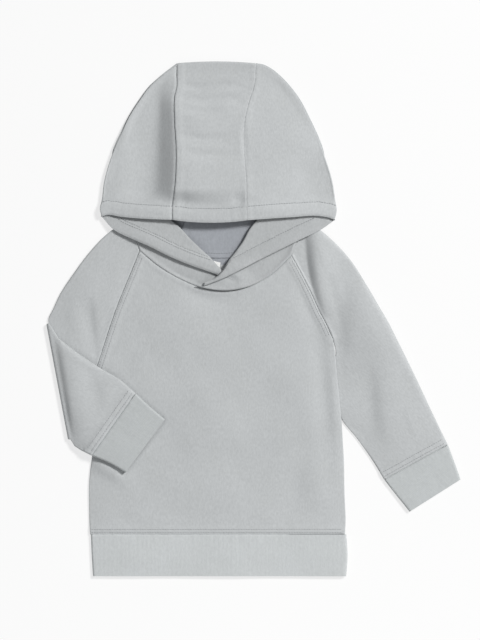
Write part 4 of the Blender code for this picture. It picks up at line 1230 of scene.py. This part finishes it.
CLOTH_GREY = (0.475, 0.491, 0.500)
# The waistband's grey is paler than the body's: painted light for the brighter light on the garment's lower
# part.
WAIST_PAINTED_LIGHT_GREY = (0.520, 0.541, 0.548)
CUFF_GREY = (0.478, 0.500, 0.506)
OPENING_SHADE_GREY = (0.333, 0.350, 0.380)  # the cloth deep in the opening, darkened as painted shade
# The threads are darker than the cloth: partly their own grey, partly painted shade for the dark holes of the
# stitches.
STITCH_SHADE_GREY = (0.30, 0.31, 0.32)
HOOD_STITCH_SHADE_GREY = (0.19, 0.20, 0.21)
LABEL_WHITE = (0.86, 0.86, 0.85)

# ---- the pieces ----

# The wearer's right panel sinks beside the centre strip's seam: distance from the seam and height.
PANEL_TROUGH = [
    (0, 9.0), (5, 5.9), (10, 2.5), (15, -0.9), (20, -4.0), (25, -6.4), (30, -7.7), (35, -7.8), (41, -6.7),
    (48, -4.6), (55, -2.4), (62, -0.8), (72, 0.1), (80, 0.0),
]
STRIP_REACH = 95.0  # how far the strip stays raised on the seam's other side
TROUGH_FROM, TROUGH_FULL = 424.0, 444.0  # y at which the trough sets in, above the hem
TROUGH_FADES, TROUGH_TO = 526.0, 588.0  # y over which it dies out towards the crown
HOOD_CREASES = [
    Crease([(14, 432), (30, 432)], -1.9, 7, 7, 0.5),
    Crease([(-48, 433), (-34, 432)], -1.3, 6, 6, 0.5),
    Crease([(29, 530), (28.8, 516), (31, 470), (31, 458)], -0.9, 3, 4),
    Crease([(24, 528), (24, 504), (26, 476)], 0.5, 4, 6),
    Crease([(-50, 566), (-24, 561), (8, 564), (34, 560)], -2.4, 4, 6),
    Crease([(-50, 550), (-20, 545), (14, 549), (30, 545)], -2.7, 5, 6),
    Crease([(-48, 538), (-22, 533), (10, 536)], -1.9, 5, 5),
    Crease([(-48, 504), (-18, 500), (16, 502)], -2.1, 6, 6),
    Crease([(-44, 486), (-8, 482), (22, 485)], -1.5, 6, 6),
    Crease([(64, 440), (78, 478), (76, 520), (62, 556)], 0.5, 22, 18),
    Crease([(104, 430), (104, 460), (96, 494)], -0.5, 12, 12),
    Crease([(48, 424), (80, 428), (112, 424)], -0.3, 6, 8),
]
HOOD_UNEVEN, LAPEL_UNEVEN = 0.9, 0.8  # shares of the wide waves
CALM_HEM, CALM_HEM_FADE, HEM_SHARE = 411, 12, 0.15  # below this y only a share of the creases is left
CALM_CROWN, CALM_CROWN_FADE = 556, 26  # above this y they die out
OUTLINE_CALM = 9.0  # the relief sets in over this distance from the outline
LEAST_ROOM = 0.1  # a trough may always be this deep
NECK_ROLL = 0.9  # how far the hood stands up along the neck seam
NECK_ROLL_FROM, NECK_ROLL_FADE = 1, 4  # distances from the seam over which that dies out
UNDER_ONSET = 3  # distance from the neck seam over which the under part's creases set in
UNDER_CREASES = [
    Crease([(2, 347), (12, 342), (26, 337)], -1.8, 4, 4),
    Crease([(-62, 354), (-42, 343), (-20, 336)], -0.9, 4, 5),
    Crease([(60, 358), (74, 372), (82, 384)], -0.6, 6, 6),
]
HEM_LIFT, HEM_LIFT_REACH = 2.2, 24  # how far the hood's hem stands up, and over what depth
HEM_DROP, HEM_DROP_REACH = 0.9, 2.5  # how far its folded edge rounds down
HEM_GROOVE, HEM_GROOVE_REACH = 0.7, 1.1  # the groove of its stitches
HEM_SWELL, HEM_SWELL_REACH, HEM_SWELL_INSET = 0.55, 4.5, 6  # the ridge between the stitches and the edge
HEM_PUCKER, HEM_PUCKER_FROM, HEM_PUCKER_FADE = 0.16, 10, 14  # its ripples, full near the folded edge
HEM_END, HEM_END_FADE = 1.0, 1.5  # how far beyond the stitches its turned edge ends
EDGE_LIFT, EDGE_LIFT_REACH = 1.0, 13.0  # how far a lapel's free edge stands up off what it lies on
LIFT_SHARE = 0.2  # share of the lapel over which that lift dies out towards its tip
LAPEL_CALM = 0.25  # share of its width, from the roll, over which its waves set in
CORNER_ROWS = 8  # rows at the opening's corner over which its relief sets in
TIP_FROM, TIP_SHARE = 0.7, 0.2  # shares of the lapel from which, and over which, its tip sinks
CORNER_LIFTED = {1: 0.75, -1: 0.5}  # up to this share a side's free edge is lifted, by the side's sign
TIP_DROP = {1: 0.0, -1: 1.8}  # how far the tip sinks


def hood_relief(points):
    """What the creases add to the hood's upper layer."""
    height = crease_height(points, HOOD_CREASES) + unevenness(points, HOOD_UNEVEN)
    calm_hem = 1 - fade((points[..., 1] - CALM_HEM) / CALM_HEM_FADE)
    calm_crown = fade((points[..., 1] - CALM_CROWN) / CALM_CROWN_FADE)
    height = height * (HEM_SHARE + (1 - HEM_SHARE) * calm_hem) * calm_crown
    away, _, side = to_line(points, along(RIGHT_HOOD.top_seam, np.linspace(0, 1, 40)))
    distances, heights = np.array(PANEL_TROUGH).T
    reached = np.clip(away, distances[0], distances[-1])
    outer = spline(heights[:, None], distances, reached.ravel())[:, 0].reshape(away.shape)
    inner = heights[0] * fade(away / STRIP_REACH)
    beside = np.where(side > 0, outer, inner)
    reach = 1 - fade((points[..., 1] - TROUGH_FROM) / (TROUGH_FULL - TROUGH_FROM))
    return height + beside * reach * fade((points[..., 1] - TROUGH_FADES) / (TROUGH_TO - TROUGH_FADES))


def hem_ridge(points, hem):
    """The hem's stitch row sinks a little and the cloth swells beside it."""
    distance, run, _ = to_line(points, hem)
    height = HEM_SWELL * hump((distance - HEM_DEPTH + HEM_SWELL_INSET) / HEM_SWELL_REACH)
    height -= HEM_GROOVE * hump((distance - HEM_DEPTH) / HEM_GROOVE_REACH)
    height += HEM_LIFT * fade(distance / HEM_LIFT_REACH) - HEM_DROP * fade(distance / HEM_DROP_REACH)
    return height + HEM_PUCKER * puckers(run) * fade((distance - HEM_PUCKER_FROM) / HEM_PUCKER_FADE)


def hem_walls(points, hem):
    """The share of the hem's wall at each point: the whole of it in the hem, and plain cloth beyond."""
    distance = distance_to(points, hem)
    plain = CLOTH / HEM
    return plain + (1 - plain) * fade((distance - HEM_DEPTH - HEM_END) / HEM_END_FADE)


def relieved_hood_side(side, main, lapel, strip_seam):
    """Adds the creases, the hem and the seams to a side of the hood. Gives the walls of its two surfaces, and
    the lines of the hem and of the lapel's free edge."""
    first_top = main.shape[1] - len(TOP)
    hem = main[0, first_top:]
    top_part = main[:, first_top:]
    from_outline = distance_to(top_part, main[:, first_top])
    height = hood_relief(top_part) * (1 - fade(from_outline / OUTLINE_CALM))
    seam_line = np.vstack([main[:, -1], main[-1, first_top:][::-1]])
    height += hem_ridge(top_part, hem) + seam_height(top_part, seam_line, strip_seam)
    room = np.maximum(top_part[..., 2] - EDGE_LEVEL - GAP, LEAST_ROOM)
    main[:, first_top:, 2] += np.where(height < 0, room * np.tanh(height / room), height)

    # What lies under the upper layer in the pleat stays under it where a crease brings it down.
    pleat = main[1:, len(LOW) : first_top - len(TURNS)]
    ceiling = top_level(pleat[..., 0], pleat[..., 1]) + hood_relief(pleat) - CLOTH - GAP
    ceiling = np.maximum(ceiling, EDGE_LEVEL)
    pleat[..., 2] = np.where(pleat[..., 2] > EDGE_LEVEL, np.minimum(pleat[..., 2], ceiling), pleat[..., 2])

    under = lapel[:, : len(UNDER)]
    from_neck = distance_to(under, lapel[:, 0])
    rolled = NECK_ROLL * fade((from_neck - NECK_ROLL_FROM) / NECK_ROLL_FADE)
    rolled -= NECK.dip * hump(from_neck / SEAM_REACH)
    rolled[:, -2:] = 0
    under[..., 2] += rolled + crease_height(under, UNDER_CREASES) * fade(1 - from_neck / UNDER_ONSET)

    first_over = len(UNDER) + len(TURNS)
    over = lapel[:, first_over:]
    free_edge = lapel[:, -1]
    down = np.linspace(0, 1, len(lapel))
    spread = 1 - fade(np.linspace(0, 1, over.shape[1]) / LAPEL_CALM)[None, :]
    change = unevenness(over, LAPEL_UNEVEN) * spread + hem_ridge(over, free_edge)
    lifted = fade((down - CORNER_LIFTED[side.sign]) / LIFT_SHARE)[:, None]
    change += EDGE_LIFT * fade(distance_to(over, free_edge) / EDGE_LIFT_REACH) * lifted
    lapel[:, first_over:, 2] += change * (1 - fade(np.arange(len(lapel)) / CORNER_ROWS))[:, None]
    lapel[..., 2] -= TIP_DROP[side.sign] * (1 - fade((down - TIP_FROM) / TIP_SHARE))[:, None]
    lapel[..., 2] = np.maximum(lapel[..., 2], EDGE_LEVEL)
    walls = [hem_walls(main, hem), hem_walls(lapel, free_edge)]
    walls[0][:, :first_top] = CLOTH / HEM
    walls[1][:, : len(UNDER)] = CLOTH / HEM
    return walls, hem, free_edge


LAP = 1.3  # how far the strip's lower part laps over its neighbours
LAP_RISE = 1.2  # and how far it rises to do so
LAP_FADE = 7  # distance from the seam over which it sinks back
LAP_SHOWN, LAP_SHOWN_FADE = 430, 60  # the lap fades from this y on, beyond what shows in the opening


def relieved_centre(surface, on_top):
    """Adds the creases, the hem and the seams to the centre strip. Gives its walls and the hem's line."""
    on_top = on_top | (np.arange(len(surface)) >= len(surface) - on_top.sum() - len(TOP))
    part = surface[on_top]
    hem = part[-1]
    height = hood_relief(part) + hem_ridge(part, hem)
    height += seam_height(part, part[:, 0], STEP_UP) + seam_height(part, part[:, -1], PLAIN)
    surface[on_top, :, 2] += height

    # The lower part laps a little over the back panel and over the sides of the hood.
    low = surface[~on_top]
    from_right = low[..., 0] - low[:, :1, 0]
    from_left = low[:, -1:, 0] - low[..., 0]
    from_neck = low[..., 1] - low[:1, :, 1]
    near_neck = fade(from_neck / LAP_FADE)
    near_side = np.maximum(fade(from_right / LAP_FADE), fade(from_left / LAP_FADE))
    shown = fade((low[..., 1] - LAP_SHOWN) / LAP_SHOWN_FADE)
    low[..., 2] += LAP_RISE * np.maximum(near_neck, near_side) * shown
    low[..., 1] -= LAP * near_neck
    low[..., 0] += LAP * (fade(from_left / LAP_FADE) - fade(from_right / LAP_FADE)) * shown
    surface[~on_top] = low
    walls = hem_walls(surface, hem)
    walls[~on_top] = CLOTH / HEM
    return walls, hem


LABEL_AREA = ((-24, 352.5), (2, 363.5))
LABEL_POINTS = (20, 10)
LABEL_WALL = 0.7
LABEL_RISE = 0.35  # in its middle
LABEL_TURN = -14  # degrees
LABEL_PIVOT = (-4, 363)
LABEL_DROP = 2.5  # how far it is moved out of the seam


def neck_label():
    """A folded tape, its two ends sewn down and its middle a little raised."""
    (x0, y0), (x1, y1) = LABEL_AREA
    x, y = np.meshgrid(np.linspace(x0, x1, LABEL_POINTS[0]), np.linspace(y0, y1, LABEL_POINTS[1]))
    across = (x - x0) / (x1 - x0)
    up = (y - y0) / (y1 - y0)
    z = CLOTH + GAP + LABEL_WALL / 2 + LABEL_RISE * np.sin(np.pi * across) * np.sin(np.pi * up)
    turned = math.radians(LABEL_TURN)
    dx, dy = x - LABEL_PIVOT[0], y - LABEL_PIVOT[1]
    x = LABEL_PIVOT[0] + dx * math.cos(turned) - dy * math.sin(turned)
    y = LABEL_PIVOT[1] + dx * math.sin(turned) + dy * math.cos(turned) - LABEL_DROP
    return np.stack([x, y, z], axis=-1)


# ---- making the garment ----

body_cloth = knit("body knit", 0, CLOTH_GREY)
hood_cloth = knit("hood knit", 4, toned(1.02, CLOTH_GREY))
strip_cloth = knit("hood strip knit", -2, toned(0.98, CLOTH_GREY))
left_sleeve_cloth = knit("straight sleeve knit", 42, CLOTH_GREY)
upper_arm_cloth = knit("upper arm knit", -24, CLOTH_GREY)
forearm_cloth = knit("forearm knit", -118, CLOTH_GREY)
waist_cloth = knit("waistband knit", 0, WAIST_PAINTED_LIGHT_GREY, wale=1.5, contrast=0.8)
left_cuff_cloth = knit("straight cuff knit", 36, CUFF_GREY, wale=1.5, contrast=0.8)
right_cuff_cloth = knit("folded cuff knit", -122, toned(0.95, CUFF_GREY), wale=1.5, contrast=0.8)
inner_face = knit("inner knit", 4, toned(0.9, CLOTH_GREY), wale=1.3)
# Painted shade: the same cloth, darker where it lies deep in the hood's opening and inside the neck.
opening_shade_face = knit("hood opening painted shade knit", 0, OPENING_SHADE_GREY, wale=1.3)
label_cloth = woven_label("label weave", LABEL_WHITE)
# Both threads carry painted stitch shade in their darker grey.
shaded_sewing_thread = thread("grey thread", STITCH_SHADE_GREY)
shaded_hood_thread = thread("hood thread with painted stitch shade", HOOD_STITCH_SHADE_GREY)

left_main, left_lapel = hood_side(LEFT_HOOD)
right_main, right_lapel = hood_side(RIGHT_HOOD)
strip, strip_on_top = hood_centre(left_main, right_main)
left_walls, left_hem, left_free = relieved_hood_side(LEFT_HOOD, left_main, left_lapel, PLAIN)
right_walls, right_hem, right_free = relieved_hood_side(RIGHT_HOOD, right_main, right_lapel, STEP_DOWN)
strip_walls, strip_hem = relieved_centre(strip, strip_on_top)
front_surface = front()
back_surface = back()
left_sleeve_surface = left_sleeve()
right_sleeve_surface, forearm_from = right_sleeve()

NECK_ROWS = 9  # rows of the back panel that show inside the neck, in painted shade
# These patches take the painted shade: the hood sides' lowest layer near the neck, the back panel inside the
# neck and the strip's lower part.
opening_shade_part = (0, len(HOOD_UP) // 2, 0, len(LOW), 2)
neck_shade_part = (len(back_surface) - NECK_ROWS, len(back_surface), 0, back_surface.shape[1], 1)
forearm_part = (forearm_from, len(right_sleeve_surface), 0, RING_POINTS, 1)
low_strip_shade_part = (0, len(HOOD_UP), 0, len(STRIP_ACROSS), 1)


def hood_piece(name, main, lapel, walls):
    """A side of the hood: the whole lapel shows the cloth's inner face."""
    lapel_part = (0, len(lapel), 0, lapel.shape[1], 1)
    # The third material is the painted shade deep in the opening.
    materials = [hood_cloth, inner_face, opening_shade_face]
    return cloth(name, [main, lapel], HEM, materials, thin=walls, patches=[opening_shade_part, lapel_part])


def band_piece(name, rows, depth, width, material):
    return cloth(name, [band(rows, depth, width)], BAND, [material], closed=True)


pieces = {
    "body_front": cloth("front_panel", [front_surface], CLOTH, [body_cloth]),
    "body_back": cloth("back_panel", [back_surface], CLOTH, [body_cloth, opening_shade_face], patches=[neck_shade_part]),
    "sleeve_left": cloth("straight_sleeve", [left_sleeve_surface], CLOTH, [left_sleeve_cloth]),
    "sleeve_right": cloth(
        "folded_sleeve", [right_sleeve_surface], CLOTH, [upper_arm_cloth, forearm_cloth],
        patches=[forearm_part],
    ),
    "cuff_left": band_piece("straight_cuff", LEFT_CUFF, 48, 84, left_cuff_cloth),
    "cuff_right": band_piece("folded_cuff", RIGHT_CUFF, 48, 88, right_cuff_cloth),
    "waistband": band_piece("waist_band", WAISTBAND, WAIST_Y, 290, waist_cloth),
    "hood_side_left": hood_piece("hood_left", left_main, left_lapel, left_walls),
    "hood_side_right": hood_piece("hood_right", right_main, right_lapel, right_walls),
    "hood_centre": cloth(
        "hood_strip", [strip], HEM, [strip_cloth, opening_shade_face], thin=[strip_walls], patches=[low_strip_shade_part]
    ),
    "neck_label": cloth("blank_label", [neck_label()], LABEL_WALL, [label_cloth]),
}

# Fields of a piece's slot and its cut, all round on a tube: width and length in metres, its area where it
# isn't a rectangle, and what it rests on. Nothing here fills them in for a piece.
Cut = namedtuple("Cut", "slot width length area rests_on")

for cad_node, piece in pieces.items():
    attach(piece, "root")
    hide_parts(cad_node)

BACK_NECK_ROW = [(-27, 372.5), (-14, 370.6), (0, 369.9), (14, 370.6), (27, 372.5)]
SHORT_ROW, SHORTER_ROW = 1, 3  # how far a row of stitches ends before its seam does

front_tree = surface_tree(front_surface)
raglan_part = front_surface[BODY_UP >= SIDE_PART]
left_arm_tree = surface_tree(left_sleeve_surface[:, :LAYER_POINTS])
forearm_tree = surface_tree(right_sleeve_surface[forearm_from:, -LAYER_POINTS:])
first_top = left_main.shape[1] - len(TOP)
first_over = len(UNDER) + len(TURNS)
right_lapel_tree = surface_tree(right_lapel[:, first_over:])
left_cuff_line = left_sleeve_surface[-1, 3:LAYER_POINTS]
right_cuff_line = right_sleeve_surface[-1, -LAYER_POINTS:-3]

# Each seam's line, the side of it on which its rows are, and how far they end before it does.
BODY_SEAMS = (
    (front_surface[0], 1, SHORT_ROW),
    (raglan_part[:, 0], -1, SHORTER_ROW),
    (raglan_part[:, -1], 1, SHORTER_ROW),
)
body_rows = [
    stitch_row(front_tree, sideways(line, turn_to * row), CLOTH, skip)
    for line, turn_to, skip in BODY_SEAMS
    for row in STITCHED.rows
]
hood_rows = [
    stitch_row(surface_tree(left_main[:, first_top:]), sideways(left_hem, -HEM_DEPTH), HEM),
    stitch_row(surface_tree(right_main[:, first_top:]), sideways(right_hem, HEM_DEPTH), HEM),
    stitch_row(surface_tree(strip[strip_on_top]), sideways(strip_hem, HEM_DEPTH), HEM),
    stitch_row(surface_tree(left_lapel[:, first_over:]), sideways(left_free, -HEM_DEPTH), HEM),
    stitch_row(right_lapel_tree, sideways(right_free, HEM_DEPTH), HEM),
    stitch_row(right_lapel_tree, sideways(right_free, HEM_DEPTH - TWIN_GAP), HEM),
    stitch_row(surface_tree(strip[: len(HOOD_UP)]), BACK_NECK_ROW, CLOTH),
]
arm_rows = [
    stitch_row(tree, sideways(line, turn_to * row), CLOTH)
    for tree, line, turn_to in ((left_arm_tree, left_cuff_line, 1), (forearm_tree, right_cuff_line, -1))
    for row in CUFF_SEAM.rows
]
for name, rows, used in (
    ("body_stitches", body_rows, shaded_sewing_thread),
    ("hood_stitches", hood_rows, shaded_hood_thread),
    ("sleeve_stitches", arm_rows, shaded_sewing_thread),
):
    sewn = stitches(name, rows, used)
    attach(sewn, "root")

# ---- the studio ----

FLOOR_REACH = 6.0  # metres
FLOOR_Z = -0.0002  # just below the cloth
FLOOR_GREY = 0.27
FLOOR_GLOW = 0.672
floor_material, _, _, floor_shader = new_material("pale floor")
for socket, value in (
    ("Base Color", (FLOOR_GREY, FLOOR_GREY, FLOOR_GREY, 1)), ("Roughness", 0.95), ("Specular IOR Level", 0.0),
    ("Emission Color", (1, 1, 1, 1)), ("Emission Strength", FLOOR_GLOW),
):
    floor_shader.inputs[socket].default_value = value
floor_mesh = bpy.data.meshes.new("floor")
corners = [(x * FLOOR_REACH, y * FLOOR_REACH, 0) for x, y in ((-1, -1), (1, -1), (1, 1), (-1, 1))]
floor_mesh.from_pydata(corners, [], [(0, 1, 2, 3)])
floor_mesh.materials.append(floor_material)
floor = placed("floor", floor_mesh)
floor.location.z = FLOOR_Z

AIM = Vector((-15.6 * MM, -1.4 * MM, 0))  # the middle of the photo's frame
world = bpy.data.worlds.new("studio")
world.use_nodes = True
world.node_tree.nodes["Background"].inputs["Color"].default_value = (0.97, 0.985, 1, 1)
world.node_tree.nodes["Background"].inputs["Strength"].default_value = 0.28
bpy.context.scene.world = world


def soft_light(name, size, energy, colour, offset, facing):
    """A square light at an offset from the middle, which shines against the direction facing. In metres."""
    lamp = bpy.data.lights.new(name, "AREA")
    lamp.shape = "SQUARE"
    lamp.size = size
    lamp.energy = energy
    lamp.color = colour
    light = placed(name, lamp)
    light.location = AIM + offset
    light.rotation_euler = facing.to_track_quat("Z", "Y").to_euler()


KEY_DIRECTION = Vector((0.58, 0.42, 0.70)).normalized()
KEY_DISTANCE = 6.5
soft_light("softbox", 1.3, 430, (1, 0.995, 0.985), KEY_DISTANCE * KEY_DIRECTION, KEY_DIRECTION)
soft_light("low fill", 0.9, 4.6, (1, 1, 1), Vector((0, -1.2, 0.95)), Vector((0, -1.0, 0.95)))

CAMERA_HEIGHT = 4
lens = bpy.data.cameras.new("camera")
lens.type = "PERSP"
lens.sensor_width = 36
lens.lens = 196
lens.clip_start, lens.clip_end = 0.1, 20
camera = placed("camera", lens)
camera.location = AIM + Vector((0, 0, CAMERA_HEIGHT))
bpy.context.scene.camera = camera
bpy.context.scene.view_settings.view_transform = "Standard"
bpy.context.scene.view_settings.look = "None"
